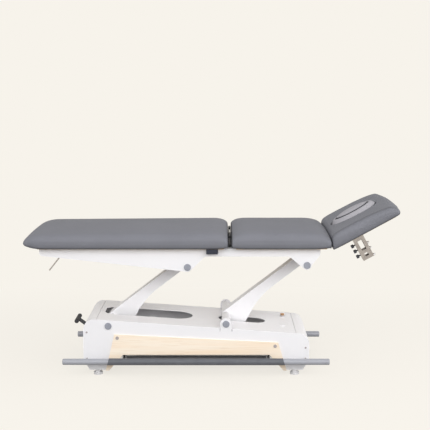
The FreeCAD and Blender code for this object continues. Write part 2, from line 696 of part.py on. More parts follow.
def actuator():
    gearbox = block("gearbox", "gearbox_length", "gearbox_width", "gearbox_height",
                    actuator_start + size("gearbox_length") / 2, 0.0, rod_height - size("gearbox_height") / 2)
    guide = rod("guide_tube", "actuator_radius", "actuator_length")
    aim(guide, (actuator_start, 0.0, rod_height), (1, 0, 0))
    motor_y = size("actuator_radius") + size("motor_radius")
    motor = rod("motor", "motor_radius", "motor_length")
    aim(motor, (actuator_start, motor_y, rod_height), (1, 0, 0))
    bore = rod("guide_bore", "actuator_rod_radius + shaft_play", "actuator_length + overrun")
    aim(bore, (actuator_start + size("gearbox_length"), 0.0, rod_height), (1, 0, 0))
    keep(cut("actuator_housing", fuse("housing", [gearbox, guide, motor]), bore), "actuator_housing")
    eye_x = pivots["head"][0]
    rod_start = actuator_start + size("gearbox_length") + size("actuator_clear")
    stem = doc.addObject("Part::Cylinder", "rod_stem")
    stem.setExpression("Radius", bound("actuator_rod_radius"))
    stem.Height = eye_x - rod_start
    aim(stem, (rod_start, 0.0, rod_height), (1, 0, 0))
    eye = cross_rod("rod_eye", "rod_eye_radius", "rod_eye_width", eye_x, rod_height)
    slot = block("eye_slot", "2 * lever_pin_radius + 2 * eye_slot_play", "rod_eye_width + overrun",
                 "2 * lever_pin_radius + eye_slot_play + eye_slot_height", eye_x, 0.0,
                 rod_height - size("lever_pin_radius") - size("eye_slot_play"))
    keep(cut("actuator_rod", fuse("rod_and_eye", [stem, eye]), slot), "actuator_rod")


actuator()


# Control unit on the inside of the far panel

def control_box():
    box = block("control_case", "control_box_length", "control_box_width", "control_box_height",
                base_x + size("control_box_place") + size("control_box_length") / 2,
                panel_inner - size("control_box_width") / 2, size("control_box_low"))
    inner_face = panel_inner - size("control_box_width")
    keep(softened("control_box", box, size("control_box_round"),
                  lambda edge: all(abs(spot.Y - inner_face) < size("seat_gap") for spot in edge.Vertexes)),
         "control_box")


control_box()


# Key lock and socket on the cover

def cover_fittings():
    x = base_x + size("lock_place")
    y = lock_side
    seat = cover_top(x) - size("lock_sink")
    ring = rod("lock_ring_solid", "lock_ring_radius", "lock_ring_height + lock_sink")
    place(ring, x, y, seat)
    well = rod("lock_well", "key_radius + key_play", "lock_ring_height + lock_sink")
    place(well, x, y, seat)
    deck = doc.getObject("base_cover")
    seated = cut("lock_ring_cut", cut("lock_ring_bore", ring, well), deck)
    keep(seated, "lock_ring")
    barrel_low = seat + size("lock_sink") + size("key_lift")
    barrel = rod("key_barrel", "key_radius", "lock_ring_height + key_height")
    place(barrel, x, y, barrel_low)
    blade = block("key_blade_solid", "key_blade", "key_blade_thickness", "key_height", x, y,
                  barrel_low + size("lock_ring_height") + size("key_play"))
    keep(fuse("lock_key", [barrel, blade]), "lock_key")
    socket_x = base_x + size("socket_place")
    socket = block("socket_solid", "socket_length", "socket_width", "socket_height + lock_sink", socket_x,
                   -socket_side, cover_top(socket_x) - size("lock_sink"))
    keep(cut("cover_socket", socket, deck), "cover_socket")


cover_fittings()


# Foot bars: a long tube with a dark sleeve, carried by two rocker plates on a shaft inside the base

def foot_bar(name, side):
    y = side * bar_side
    z = size("bar_height")
    half = size("bar_length") / 2
    outer = rod("bar_outer", "bar_radius", "bar_length")
    aim(outer, (base_x - half, y, z), (1, 0, 0))
    rounded = softened("bar_rounded", outer, size("bar_end_round"), round_edge)
    bore = rod("bar_bore", "bar_radius - bar_wall", "bar_length - 4 * bar_end_round")
    aim(bore, (base_x - half + 2 * size("bar_end_round"), y, z), (1, 0, 0))
    keep(cut(f"foot_bar_{name}", rounded, bore), f"foot_bar_{name}")
    tube = rod("sleeve_outer", "bar_radius + sleeve_wall", "2 * sleeve_half + 2 * sleeve_slant")
    aim(tube, (base_x - size("sleeve_half") - size("sleeve_slant"), y, z), (1, 0, 0))
    through = rod("sleeve_bore", "bar_radius", "2 * sleeve_half + 4 * overrun")
    aim(through, (base_x - size("sleeve_half") - 2 * size("overrun"), y, z), (1, 0, 0))
    body = doc.addObject("PartDesign::Body", f"sleeve_trim_{name}")
    trim = polygon(new_sketch(body), [
        ("-sleeve_half + sleeve_slant", "bar_radius + sleeve_wall"),
        ("sleeve_half - sleeve_slant", "bar_radius + sleeve_wall"),
        ("sleeve_half + sleeve_slant", "-bar_radius - sleeve_wall"),
        ("-sleeve_half - sleeve_slant", "-bar_radius - sleeve_wall"),
    ])
    pad(body, trim, "4 * bar_radius", both_ways=True)
    place(body, base_x, y, z)
    shaped_tube = doc.addObject("Part::MultiCommon", "sleeve_shape")
    shaped_tube.Shapes = [cut("sleeve_tube", tube, through), body]
    keep(shaped_tube, f"bar_sleeve_{name}")
    shaft_y = side * rocker_shaft_side
    shaft_z = size("rocker_shaft_height")
    shaft = rod("rocker_shaft", "rocker_shaft_radius", "2 * rocker_half")
    aim(shaft, (base_x - size("rocker_half"), shaft_y, shaft_z), (1, 0, 0))
    plates = []
    for way in (-1, 1):
        x = base_x + way * (size("rocker_half") - size("rocker_plate") / 2)
        low_x = x - size("rocker_plate") / 2
        arm = block("rocker_arm", "rocker_plate", "bar_standoff + rocker_shaft_inset", "rocker_width", x,
                    (y + shaft_y) / 2, shaft_z - size("rocker_width") / 2)
        ring = rod("rocker_ring", "rocker_width / 2 + lever_fork", "rocker_plate")
        aim(ring, (low_x, shaft_y, shaft_z), (1, 0, 0))
        plates += [arm, ring]
    saddle = rod("rocker_saddle", "bar_radius + sleeve_wall", "2 * rocker_half + overrun")
    aim(saddle, (base_x - size("rocker_half") - size("overrun") / 2, y, z), (1, 0, 0))
    keep(cut(f"bar_rocker_{name}", fuse("rocker_frame", [shaft] + plates), saddle), f"bar_rocker_{name}")


for name, side in SIDES:
    foot_bar(name, side)


# Bearings: hangers of the rocker shafts and bosses of the pedal shaft

def base_bearings():
    pieces = []
    hanger_depth = panel_inner - rocker_shaft_side + size("hanger_eye")
    for side in (NEAR, FAR):
        for way in (-1, 1):
            x = base_x + way * (size("rocker_half") - size("rocker_plate") - size("hanger_gap")
                                - size("hanger_plate") / 2)
            plate = doc.addObject("Part::Box", "hanger_plate_solid")
            plate.setExpression("Length", bound("hanger_plate"))
            plate.Width = hanger_depth
            plate.setExpression("Height",
                                bound("hanger_eye + hoist_height - rocker_shaft_height + hanger_rise"))
            low_y = panel_inner - hanger_depth if side == FAR else -panel_inner
            place(plate, x - size("hanger_plate") / 2, low_y,
                  size("rocker_shaft_height") - size("hanger_eye"))
            hole = rod("hanger_hole", "rocker_shaft_radius + shaft_play", "hanger_plate + overrun")
            aim(hole, (x - size("hanger_plate") / 2 - size("overrun") / 2, side * rocker_shaft_side,
                       size("rocker_shaft_height")), (1, 0, 0))
            pieces.append(cut("hanger", plate, hole))
        boss = rod("pedal_boss_solid", "bearing_radius", "bearing_length")
        spot = (base_x - size("pedal_place"), side * panel_inner, size("pedal_height"))
        aim(boss, spot, (0, -side, 0))
        bore = rod("pedal_bore", "pedal_shaft_radius + shaft_play", "bearing_length")
        aim(bore, spot, (0, -side, 0))
        pieces.append(cut("pedal_bearing", boss, bore))
    group("base_bearings", pieces)


base_bearings()


# Pedal: a cross shaft with two cranks, a stem out through the end cover and a padded cross grip

pedal_x = base_x - size("pedal_place")
pedal_z = size("pedal_height")
wheel_x = pedal_x - size("wheel_crank")
wheel_z = pedal_z - size("wheel_drop")


def pedal():
    shaft = cross_rod("pedal_shaft", "pedal_shaft_radius",
                      "base_width - 2 * panel_wall - 2 * pedal_shaft_gap",
                      pedal_x, pedal_z)
    boss = cross_rod("pedal_boss", "pedal_boss_radius", "pedal_boss_width", pedal_x, pedal_z)
    reach = FreeCAD.Vector(-size("pedal_reach"), 0, size("pedal_lift"))
    stem = doc.addObject("Part::Cylinder", "pedal_stem")
    stem.setExpression("Radius", bound("pedal_stem_radius"))
    stem.Height = reach.Length
    aim(stem, (pedal_x, 0.0, pedal_z), tuple(reach))
    pieces = [shaft, boss, stem]
    crank = FreeCAD.Vector(-size("wheel_crank"), 0, -size("wheel_drop"))
    for side in (NEAR, FAR):
        inner = wheel_side - size("wheel_width") / 2 - size("wheel_side_gap") - size("crank_plate")
        low_y = inner if side == FAR else -inner - size("crank_plate")
        arm = doc.addObject("Part::Box", "crank_arm")
        arm.Length = crank.Length
        arm.setExpression("Width", bound("crank_plate"))
        arm.setExpression("Height", bound("crank_width"))
        turn = math.atan2(crank.z, crank.x)
        half = size("crank_width") / 2
        place(arm, pedal_x + half * math.sin(turn), low_y, pedal_z - half * math.cos(turn),
              math.degrees(turn))
        ring = rod("crank_ring", "crank_width / 2", "crank_plate")
        aim(ring, (wheel_x, low_y, wheel_z), (0, 1, 0))
        pin = rod("wheel_pin", "wheel_pin_radius", "wheel_width + 2 * wheel_side_gap + crank_plate")
        aim(pin, (wheel_x, side * inner, wheel_z), (0, side, 0))
        pieces += [arm, ring, pin]
    joined = fuse("pedal_all", pieces)
    grip_x, grip_z = pedal_x + reach.x, pedal_z + reach.z
    socket = cross_rod("grip_socket", "grip_radius", "grip_length", grip_x, grip_z)
    keep(cut("pedal_lever", joined, socket), "pedal_lever")
    bar = cross_rod("grip_bar", "grip_radius", "grip_length", grip_x, grip_z)
    keep(softened("pedal_grip", bar, size("grip_round"), round_edge), "pedal_grip")


pedal()


# Transport wheels: a tyre on a thin web and a hub

def transport_wheel(name, side):
    body = new_body(f"transport_wheel_{name}")
    section = polygon(new_sketch(body), [
        ("wheel_pin_radius + pin_play", "-wheel_width / 2"),
        ("wheel_hub_radius", "-wheel_width / 2"),
        ("wheel_hub_radius", "-wheel_web / 2"),
        ("wheel_radius - wheel_web", "-wheel_web / 2"),
        ("wheel_radius - wheel_web", "-wheel_width / 2"),
        ("wheel_radius", "-wheel_width / 2 + wheel_side_gap"),
        ("wheel_radius", "wheel_width / 2 - wheel_side_gap"),
        ("wheel_radius - wheel_web", "wheel_width / 2"),
        ("wheel_radius - wheel_web", "wheel_web / 2"),
        ("wheel_hub_radius", "wheel_web / 2"),
        ("wheel_hub_radius", "wheel_width / 2"),
        ("wheel_pin_radius + pin_play", "wheel_width / 2"),
    ])
    turned = body.newObject("PartDesign::Revolution", "turned")
    turned.Profile = section
    turned.ReferenceAxis = (section, ["V_Axis"])
    turned.Angle = 360
    spin = FreeCAD.Rotation(FreeCAD.Vector(1, 0, 0), 90)
    body.Placement = FreeCAD.Placement(FreeCAD.Vector(wheel_x, side * wheel_side, wheel_z), spin)


for name, side in SIDES:
    transport_wheel(name, side)


# Top frame: tapered side beams, folded all round from one sheet outline

def beam_outline():
    """Side view of a beam, from the foot pivot along and down from the frame's top."""
    lug = size("lug_outer")
    holes = {end: (x - frame_x, z - frame_top) for end, (x, z) in upper_pivots.items()}

    def lug_points(end):
        across, up = holes[end]
        turns = [math.radians(turn) for turn in LUG_TURNS[end]]
        return [FreeCAD.Vector(across + lug * math.cos(turn), 0, up + lug * math.sin(turn)) for turn in turns]

    def lines(points):
        return [Part.LineSegment(first, second).toShape() for first, second in zip(points, points[1:])]

    reach, nose = size("beam_foot_reach"), size("beam_foot_nose")
    head_end = [FreeCAD.Vector(-reach, 0, 0), FreeCAD.Vector(size("beam_head_reach"), 0, 0),
                FreeCAD.Vector(size("beam_head_reach"), 0, -size("lug_head_shoulder"))]
    rail = [FreeCAD.Vector(size("rail_head_end"), 0, -size("rail_depth")),
            FreeCAD.Vector(size("rail_foot_start"), 0, -size("rail_depth"))]
    foot_end = [FreeCAD.Vector(-reach + nose, 0, -size("beam_foot_depth")),
                FreeCAD.Vector(-reach, 0, -size("beam_foot_depth") + nose)]
    head_lug, foot_lug = lug_points("head"), lug_points("foot")
    edges = lines(head_end + head_lug[:1]) + [Part.Arc(*head_lug).toShape()]
    edges += lines(head_lug[-1:] + rail + foot_lug[:1]) + [Part.Arc(*foot_lug).toShape()]
    edges += lines(foot_lug[-1:] + foot_end + head_end[:1])
    return Part.Face(Part.Wire(edges)), list(holes.values())


def side_beam(name, side):
    """Tray of one sheet: an outer web with a lip all round, open to the inside, and two pivot holes."""
    face, holes = beam_outline()
    inner = face.makeOffset2D(-size("beam_wall"))
    inward = FreeCAD.Vector(0, -side, 0)
    beam = face.extrude(inward * size("beam_depth"))
    hollow = inner.extrude(inward * (size("beam_depth") + size("overrun")))
    hollow.translate(inward * size("beam_wall"))
    beam = beam.cut(hollow)
    for across, up in holes:
        start = FreeCAD.Vector(across, 0, up) - inward * size("overrun")
        hole = Part.makeCylinder(size("shaft_radius"), 2 * size("overrun"), start, inward)
        beam = beam.cut(hole)
    place(shaped(f"side_beam_{name}", beam), frame_x, side * beam_side, frame_top)


for name, side in SIDES:
    side_beam(name, side)

tube_z = frame_top - size("beam_wall") - size("frame_tube_drop") - size("frame_tube") / 2
tube_top = tube_z + size("frame_tube") / 2


def frame_cross_tubes():
    length = f"2 * {beam_text} - 2 * beam_wall"
    spots = (frame_x - size("foot_frame_tube"), frame_x - size("mid_frame_tube"), gap_x,
             frame_x + size("head_frame_tube"))
    group("frame_cross_tubes", [tube_across("frame_tube", "frame_tube", "frame_tube_wall", length, x, tube_z)
                                for x in spots])


frame_cross_tubes()


# Upholstery: crowned pads with drawn-in sides, lofted through sections of lines and arcs

def pad_section(place_on, half, low, high, band, crown, shoulder, draw):
    """Closed section: flat bottom, side arcs that swell and turn in, and one crown arc.

    place_on puts a point of the section, given across and up, into the pad's own space.
    """
    full = band + crown
    scale = (high - low) / full

    def spot(across, up):
        return place_on(across, low + up * scale)

    side_z = band * SIDE_SHARE
    rim_z = band + crown * SHOULDER_SHARE
    low_via = (half - draw * LOWER_ARC_SHARES[0], side_z * LOWER_ARC_SHARES[1])
    high_via = (half - shoulder * UPPER_ARC_SHARES[0], side_z + (rim_z - side_z) * UPPER_ARC_SHARES[1])
    edges = [Part.LineSegment(spot(-half + draw, 0), spot(half - draw, 0)).toShape()]
    edges.append(Part.Arc(spot(half - draw, 0), spot(*low_via), spot(half, side_z)).toShape())
    edges.append(Part.Arc(spot(half, side_z), spot(*high_via), spot(half - shoulder, rim_z)).toShape())
    edges.append(Part.Arc(spot(half - shoulder, rim_z), spot(0, full),
                          spot(-half + shoulder, rim_z)).toShape())
    edges.append(Part.Arc(spot(-half + shoulder, rim_z), spot(-high_via[0], high_via[1]),
                          spot(-half, side_z)).toShape())
    edges.append(Part.Arc(spot(-half, side_z), spot(-low_via[0], low_via[1]),
                          spot(-half + draw, 0)).toShape())
    return Part.Wire(edges)


def flat_pad(label, start, end, ends):
    """Level pad between two places along X; each end is rounded by its own run, corner, low and high tip.

    The top falls a little towards the foot end.
    """
    band, crown, taper = size("pad_band"), size("pad_crown"), size(label + "_pad_taper")
    sections = []
    for kind, tip, way in ((ends[0], start, 1), (ends[1], end, -1)):
        run, corner = size(kind + "_run"), size(kind + "_corner")
        low, high = size(kind + "_low"), size(kind + "_high")
        rows = []
        for share in END_RUN_SHARES:
            filled = math.sqrt(1 - (1 - share) ** 2)
            x = tip + way * run * share
            tall = band + crown - taper * (end - x) / (end - start)
            rows.append(pad_section(
                lambda across, up, x=x: FreeCAD.Vector(x, across, top + up),
                pad_half - corner * (1 - filled), low * (1 - filled), high + (tall - high) * filled,
                band, crown, size("pad_shoulder"), size("pad_draw")))
        sections += rows if way == 1 else rows[::-1]
    loft = Part.makeLoft(sections, True, True)
    play, margin, foot_margin = size("board_play"), size("board_margin"), size(label + "_board_margin")
    recess = Part.makeBox(
        end - start - margin - foot_margin + 2 * play, 2 * pad_half - 2 * margin + 2 * play,
        size("board_thickness") + play + size("overrun"),
        FreeCAD.Vector(start + foot_margin - play, -pad_half + margin - play, top - size("overrun")))
    shaped(label + "_pad", loft.cut(recess))
    board = block(label + "_board_solid", f"{label}_pad_length - board_margin - {label}_board_margin",
                  "pad_width - 2 * board_margin", "board_thickness",
                  (start + end + foot_margin - margin) / 2, 0.0, top)
    keep(board, label + "_board")


flat_pad("leg", leg_start, leg_end, ("foot_end", "joint_end"))
flat_pad("mid", mid_start, mid_end, ("joint_end", "neck_end"))


# Head section: tilted pad with a mitred inner end, a lip at the outer end and an oval face opening

def oval(length, width, up):
    """Ellipse on the head section's own plane."""
    centre = FreeCAD.Vector(size("face_hole_place"), 0, up)
    if length >= width:
        curve = Part.Ellipse(centre, length / 2, width / 2)
    else:
        curve = Part.Ellipse(centre + FreeCAD.Vector(0, length / 2, 0),
                             centre + FreeCAD.Vector(width / 2, 0, 0), centre)
    return Part.Wire(curve.toShape())


def crowned_oval(length, width, low, shoulder, proud, edge):
    """Oval cushion with upright sides and a rounded crown."""
    rings = [oval(length, width, low)]
    for rise, draw in CROWN_SHARES:
        inset = 2 * draw * edge
        rings.append(oval(length - inset, width - inset, shoulder + proud * rise))
    return Part.makeLoft(rings, True, True)


def tilted(label, solid):
    return place(shaped(label, solid), head_x, 0.0, head_z, tilt)


head_low = size("head_pad_rise")
head_floor = head_low + size("board_thickness") + size("board_play")
face_shoulder = head_low + size("head_pad_height") - 2 * size("head_pad_dish")


def head_pad():
    length, height = size("head_pad_length"), size("head_pad_height")
    lean = math.tan(math.radians(tilt))
    sections = []
    for along, tall, drawn, leaning in HEAD_STATION_SHARES:
        u = size("head_pad_start") + along * length
        slope = lean * leaning
        sections.append(pad_section(
            lambda across, up, u=u, slope=slope: FreeCAD.Vector(u + slope * up, across, head_low + up),
            pad_half - drawn * size("head_pad_corner"), 0.0, height * tall - size("head_pad_dish"),
            height, -size("head_pad_dish"), size("pad_shoulder"), size("pad_draw")))
    for along, low, high, drawn in HEAD_LIP_SHARES:
        u = size("head_pad_start") + along * length
        sections.append(pad_section(
            lambda across, up, u=u: FreeCAD.Vector(u, across, head_low + up),
            pad_half - drawn * size("head_pad_corner"), low * height, high * height,
            height, -size("head_pad_dish"), size("pad_shoulder"), size("pad_draw")))
    loft = Part.makeLoft(sections, True, True)
    play = size("board_play")
    recess = Part.makeBox(
        length - 2 * size("board_margin") - size("head_pad_corner") + 2 * play,
        2 * pad_half - 2 * size("board_margin") + 2 * play, size("board_thickness") + play + size("overrun"),
        FreeCAD.Vector(size("head_pad_start") + size("board_margin") + size("head_pad_corner") - play,
                       -pad_half + size("board_margin") - play, head_low - size("overrun")))
    hole_length, hole_width = size("face_hole_length"), size("face_hole_width")
    hole = Part.makeLoft([oval(hole_length, hole_width, head_low - size("overrun")),
                          oval(hole_length, hole_width, head_low + 2 * height)], True, True)
    cushion = loft.cut(recess).cut(hole)
    for side in (NEAR, FAR):
        width = size("hinge_width") + 2 * size("face_play")
        start = FreeCAD.Vector(0, side * hinge_side - width / 2, 0)
        cushion = cushion.cut(Part.makeCylinder(size("head_knuckle") + size("face_play"), width, start,
                                                FreeCAD.Vector(0, 1, 0)))
    tilted("head_pad", cushion)


def head_board():
    body = new_body("head_board")
    start = "(head_pad_start + board_margin + head_pad_corner)"
    outline = rectangle(new_sketch(body, "XY_Plane"), start, f"{start} + head_pad_length - 2 * board_margin"
                        " - head_pad_corner", "-pad_width / 2 + board_margin", "pad_width / 2 - board_margin")
    pad(body, outline, "board_thickness")
    hole = new_sketch(body, "XY_Plane")
    rectangle(hole, "face_hole_place - face_plug_length / 2 + breathing_margin",
              "face_hole_place + face_plug_length / 2 - breathing_margin",
              "-face_plug_width / 2 + breathing_margin", "face_plug_width / 2 - breathing_margin")
    pocket(body, hole)
    place(body, *on_head(0.0, head_low), tilt)


def face_cushions():
    """Padded ring in the pad's opening, and the plug that lifts out of it."""
    play = size("face_play")
    ring = crowned_oval(size("face_hole_length") - 2 * play, size("face_hole_width") - 2 * play, head_floor,
                        face_shoulder, size("face_ring_proud"), size("face_ring_edge"))
    bore = Part.makeLoft([oval(size("face_plug_length"), size("face_plug_width"), head_low),
                          oval(size("face_plug_length"), size("face_plug_width"),
                               face_shoulder + 2 * size("face_ring_proud"))], True, True)
    tilted("face_ring", ring.cut(bore))
    plug = crowned_oval(size("face_plug_length") - 2 * play, size("face_plug_width") - 2 * play, head_floor,
                        face_shoulder + size("face_plug_rise"), size("face_plug_proud"),
                        size("face_plug_edge"))
    tilted("face_plug", plug)


head_pad()
head_board()
face_cushions()


# Section hinges: leaves with knuckles that share a pin

def middle_knuckle():
    return "hinge_width / 3 - knuckle_gap"


def leg_hinges():
    """Leaves in the gap between the leg and middle pads, so the leg section can be raised."""
    pin_z = size("leg_pin_height")
    leaf = size("hinge_leaf")
    leg_leaf_x = gap_x - size("leg_knuckle") + leaf / 2
    frame_leaf_x = gap_x + size("leg_knuckle") - leaf / 2
    leg_pieces, frame_pieces, pins = [], [], []
    third = size("hinge_width") / 3
    for side in (NEAR, FAR):
        y = side * hinge_side
        strap = block("leg_strap", "hinge_strap", "hinge_width", "hinge_leaf",
                      leg_leaf_x + leaf / 2 - size("hinge_strap") / 2, y, top - leaf)
        blade = doc.addObject("Part::Box", "leg_blade")
        blade.setExpression("Length", bound("hinge_leaf"))
        blade.setExpression("Width", bound(middle_knuckle()))
        blade.Height = pin_z - top + leaf
        place(blade, leg_leaf_x - leaf / 2, y - (third - size("knuckle_gap")) / 2, top - leaf)
        eye = cross_rod("leg_eye", "leg_knuckle", middle_knuckle(), gap_x, pin_z, y)
        bore = cross_rod("leg_eye_bore", "leg_pin_radius + pin_play", "hinge_width + overrun",
                         gap_x, pin_z, y)
        leg_pieces.append(cut("leg_leaf", fuse("leg_leaf_solid", [strap, blade, eye]), bore))
        parts = []
        for way in (-1, 1):
            part_y = y + way * third
            post = doc.addObject("Part::Box", "frame_post")
            post.setExpression("Length", bound("hinge_leaf"))
            post.setExpression("Width", bound(middle_knuckle()))
            post.Height = pin_z - tube_top
            place(post, frame_leaf_x - leaf / 2, part_y - (third - size("knuckle_gap")) / 2, tube_top)
            parts.append(post)
            parts.append(cross_rod("frame_eye", "leg_knuckle", middle_knuckle(), gap_x, pin_z, part_y))
        foot = block("frame_foot", "frame_tube", "hinge_width", "frame_tube_drop", gap_x, y, tube_top)
        hole = cross_rod("frame_eye_bore", "leg_pin_radius", "hinge_width + overrun", gap_x, pin_z, y)
        frame_pieces.append(cut("frame_leaf", fuse("frame_leaf_solid", parts + [foot]), hole))
        pins.append(cross_rod("leg_pin", "leg_pin_radius", "hinge_width", gap_x, pin_z, y))
    group("leg_hinge_leaves", leg_pieces)
    group("leg_hinge_frame", frame_pieces)
    return pins


def head_hinges():
    """Leaves under the joint of the middle and head pads."""
    third = size("hinge_width") / 3
    leaf = size("hinge_leaf")
    tube_x = frame_x + size("head_frame_tube")
    # The arms start at the side of the tube that faces the pins
    toward = math.copysign(1, head_x - tube_x)
    tube_face = tube_x + toward * size("frame_tube") / 2
    head_pieces, frame_pieces, pins = [], [], []
    for side in (NEAR, FAR):
        y = side * hinge_side
        strap = doc.addObject("Part::Box", "head_strap_solid")
        strap.setExpression("Length", bound("head_strap"))
        strap.setExpression("Width", bound(middle_knuckle()))
        strap.setExpression("Height", bound("hinge_leaf"))
        start = on_head(0.0, head_low - leaf)
        place(strap, start[0], y - (third - size("knuckle_gap")) / 2, start[2], tilt)
        eye = cross_rod("head_eye", "head_knuckle", middle_knuckle(), head_x, head_z, y)
        bore = cross_rod("head_eye_bore", "head_pin_radius + pin_play", "hinge_width + overrun",
                         head_x, head_z, y)
        head_pieces.append(cut("head_leaf", fuse("head_leaf_solid", [strap, eye]), bore))
        parts = []
        for way in (-1, 1):
            part_y = y + way * third
            arm = doc.addObject("Part::Box", "head_arm")
            arm.Length = abs(head_x - tube_face)
            arm.setExpression("Width", bound(middle_knuckle()))
            arm.setExpression("Height", bound("hinge_leaf"))
            place(arm, min(tube_face, head_x), part_y - (third - size("knuckle_gap")) / 2, head_z - leaf / 2)
            parts.append(arm)
            parts.append(cross_rod("head_frame_eye", "head_knuckle", middle_knuckle(),
                                   head_x, head_z, part_y))
        plate = block("head_foot", "hinge_leaf", "hinge_width", "frame_tube",
                      tube_face + toward * leaf / 2, y,
                      tube_z - size("frame_tube") / 2)
        hole = cross_rod("head_frame_bore", "head_pin_radius", "hinge_width + overrun", head_x, head_z, y)
        frame_pieces.append(cut("head_frame_leaf", fuse("head_frame_solid", parts + [plate]), hole))
        pins.append(cross_rod("head_pin", "head_pin_radius", "hinge_width", head_x, head_z, y))
    group("head_hinge_leaves", head_pieces)
    group("head_hinge_frame", frame_pieces)
    return pins


group("hinge_pins", leg_hinges() + head_hinges())


# Release lever under the foot end of the leg section, in a small fork

def release_lever():
    x = gap_x - size("lever_place")
    y = -lever_side
    z = top - size("lever_pivot_drop")
    fork_gap = size("lever_boss_width") / 2 + size("seat_gap")
    cheeks = []
    for way in (-1, 1):
        cheek_y = y + way * (fork_gap + size("lever_fork") / 2)
        cheek = block("lever_cheek", "lever_bracket_length", "lever_fork",
                      "lever_pivot_drop + lever_boss_radius", x, cheek_y, z - size("lever_boss_radius"))
        cheeks.append(cheek)
    pin = cross_rod("lever_pin_solid", "lever_pin", "lever_boss_width + 2 * lever_fork", x, z, y)
    group("lever_bracket", [fuse("lever_fork_solid", cheeks + [pin])])
    reach = FreeCAD.Vector(-size("lever_run"), 0, -size("lever_fall"))
    stem = doc.addObject("Part::Cylinder", "lever_stem")
    stem.setExpression("Radius", bound("lever_radius"))
    stem.Height = reach.Length
    aim(stem, (x, y, z), tuple(reach))
    tip = FreeCAD.Vector(x, y, z) + reach
    smooth = softened("lever_smooth", stem, size("lever_end_round"),
                      lambda edge: round_edge(edge)
                      and edge.Curve.Center.distanceToPoint(tip) < size("seat_gap"))
    boss = cross_rod("lever_boss", "lever_boss_radius", "lever_boss_width", x, z, y)
    bore = cross_rod("lever_bore", "lever_pin + pin_play", "lever_boss_width + overrun", x, z, y)
    keep(cut("release_lever", fuse("lever_solid", [smooth, boss]), bore), "release_lever")


release_lever()


# Plain fabric tab at the near edge of the leg pad

def pad_tab():
    body = new_body("pad_tab")
    outline = rectangle(new_sketch(body), "-tab_length / 2", "tab_length / 2", "-tab_drop", "0")
    pad(body, outline, "tab_thickness", both_ways=True)
    half = size("tab_length") / 2
    corners = ((-half, -size("tab_drop")), (half, -size("tab_drop")))
    round_edges(body, "tab_thickness * 2", lambda edge: any(runs_across(*spot)(edge) for spot in corners))
    place(body, leg_end - size("tab_inset"), -size("pad_width") / 2 + size("tab_set_in"), top)


pad_tab()


# Bracket under the head section: a windowed box with clamping knobs and bolts

def head_bracket():
    body = new_body("head_bracket")
    left = "(bracket_place - bracket_length / 2)"
    right = "(bracket_place + bracket_length / 2)"
    pad(body, rectangle(new_sketch(body), left, right, "-bracket_depth", "0"), "bracket_width",
        both_ways=True)
    hollow = rectangle(new_sketch(body, "XY_Plane"), f"{left} + bracket_wall", f"{right} - bracket_wall",
                       "-bracket_width / 2 + bracket_wall", "bracket_width / 2 - bracket_wall")
    feature = pocket(body, hollow, "2 * bracket_depth - 2 * bracket_wall")
    feature.SideType = "Symmetric"
    flange = rectangle(new_sketch(body, "XY_Plane"), "bracket_place - bracket_flange / 2",
                       "bracket_place + bracket_flange / 2", "-bracket_flange_width / 2",
                       "bracket_flange_width / 2")
    pad(body, flange, "bracket_flange_thickness", backwards=True)
    windows = new_sketch(body)
    rectangle(windows, "bracket_place - window_length / 2", "bracket_place + window_length / 2",
              "-window_top - window_height", "-window_top")
    rectangle(windows, "bracket_place - small_window / 2", "bracket_place + small_window / 2",
              "-small_window_top - small_window", "-small_window_top")
    pocket(body, windows)
    place(body, *on_head(0.0, head_low), tilt)


def bracket_bolts():
    """Through bolts from side to side of the bracket, with round heads."""
    bolts = []
    wall_u = size("bracket_place") + size("bracket_length") / 2
    for step in range(3):
        v = head_low - size("bolt_top") - step * size("bolt_step")
        y = size("bolt_side") * (1 if step == 1 else -1)
        head = rod("bolt_head", "bolt_head_radius", "bolt_head")
        aim(head, on_head(wall_u, v, y), head_along)
        shank = rod("bolt_end", "bolt_radius", "2 * bolt_head")
        aim(shank, on_head(wall_u, v, y), head_along)
        bolts.append(fuse("bolt", [head, shank]))
    group("bracket_bolts", bolts)


def bracket_knobs():
    """Black clamping knobs on the inner side of the bracket."""
    wall_u = size("bracket_place") - size("bracket_length") / 2
    back = tuple(-part for part in head_along)
    for step in range(3):
        v = head_low - size("knob_top") - step * size("knob_step")
        stud = rod("knob_stud_solid", "knob_stud_radius", "knob_stud")
        aim(stud, on_head(wall_u - size("seat_gap"), v), back)
        grip = rod("knob_grip", "knob_radius", "knob_length")
        aim(grip, on_head(wall_u - size("seat_gap") - size("knob_stud"), v), back)
        smooth = softened("knob_smooth", grip, size("knob_round"), round_edge)
        keep(fuse(f"bracket_knob_{step + 1}", [stud, smooth]), f"bracket_knob_{step + 1}")


head_bracket()
bracket_bolts()
bracket_knobs()


# Checks and files

doc.recompute()
for item in doc.Objects:
    if "Invalid" in item.State or "Error" in item.State:
        raise RuntimeError(f"{item.Label} did not build")
for piece in subparts:
    if piece.Shape.isNull() or not piece.Shape.isValid() or not piece.Shape.Solids:
        raise RuntimeError(f"{piece.Label} is not a valid solid")

os.makedirs("parts", exist_ok=True)
for piece in subparts:
    piece.Shape.exportStep(f"parts/{piece.Label}.step")
print(f"{len(subparts)} sub-parts written")
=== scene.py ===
import json
import math

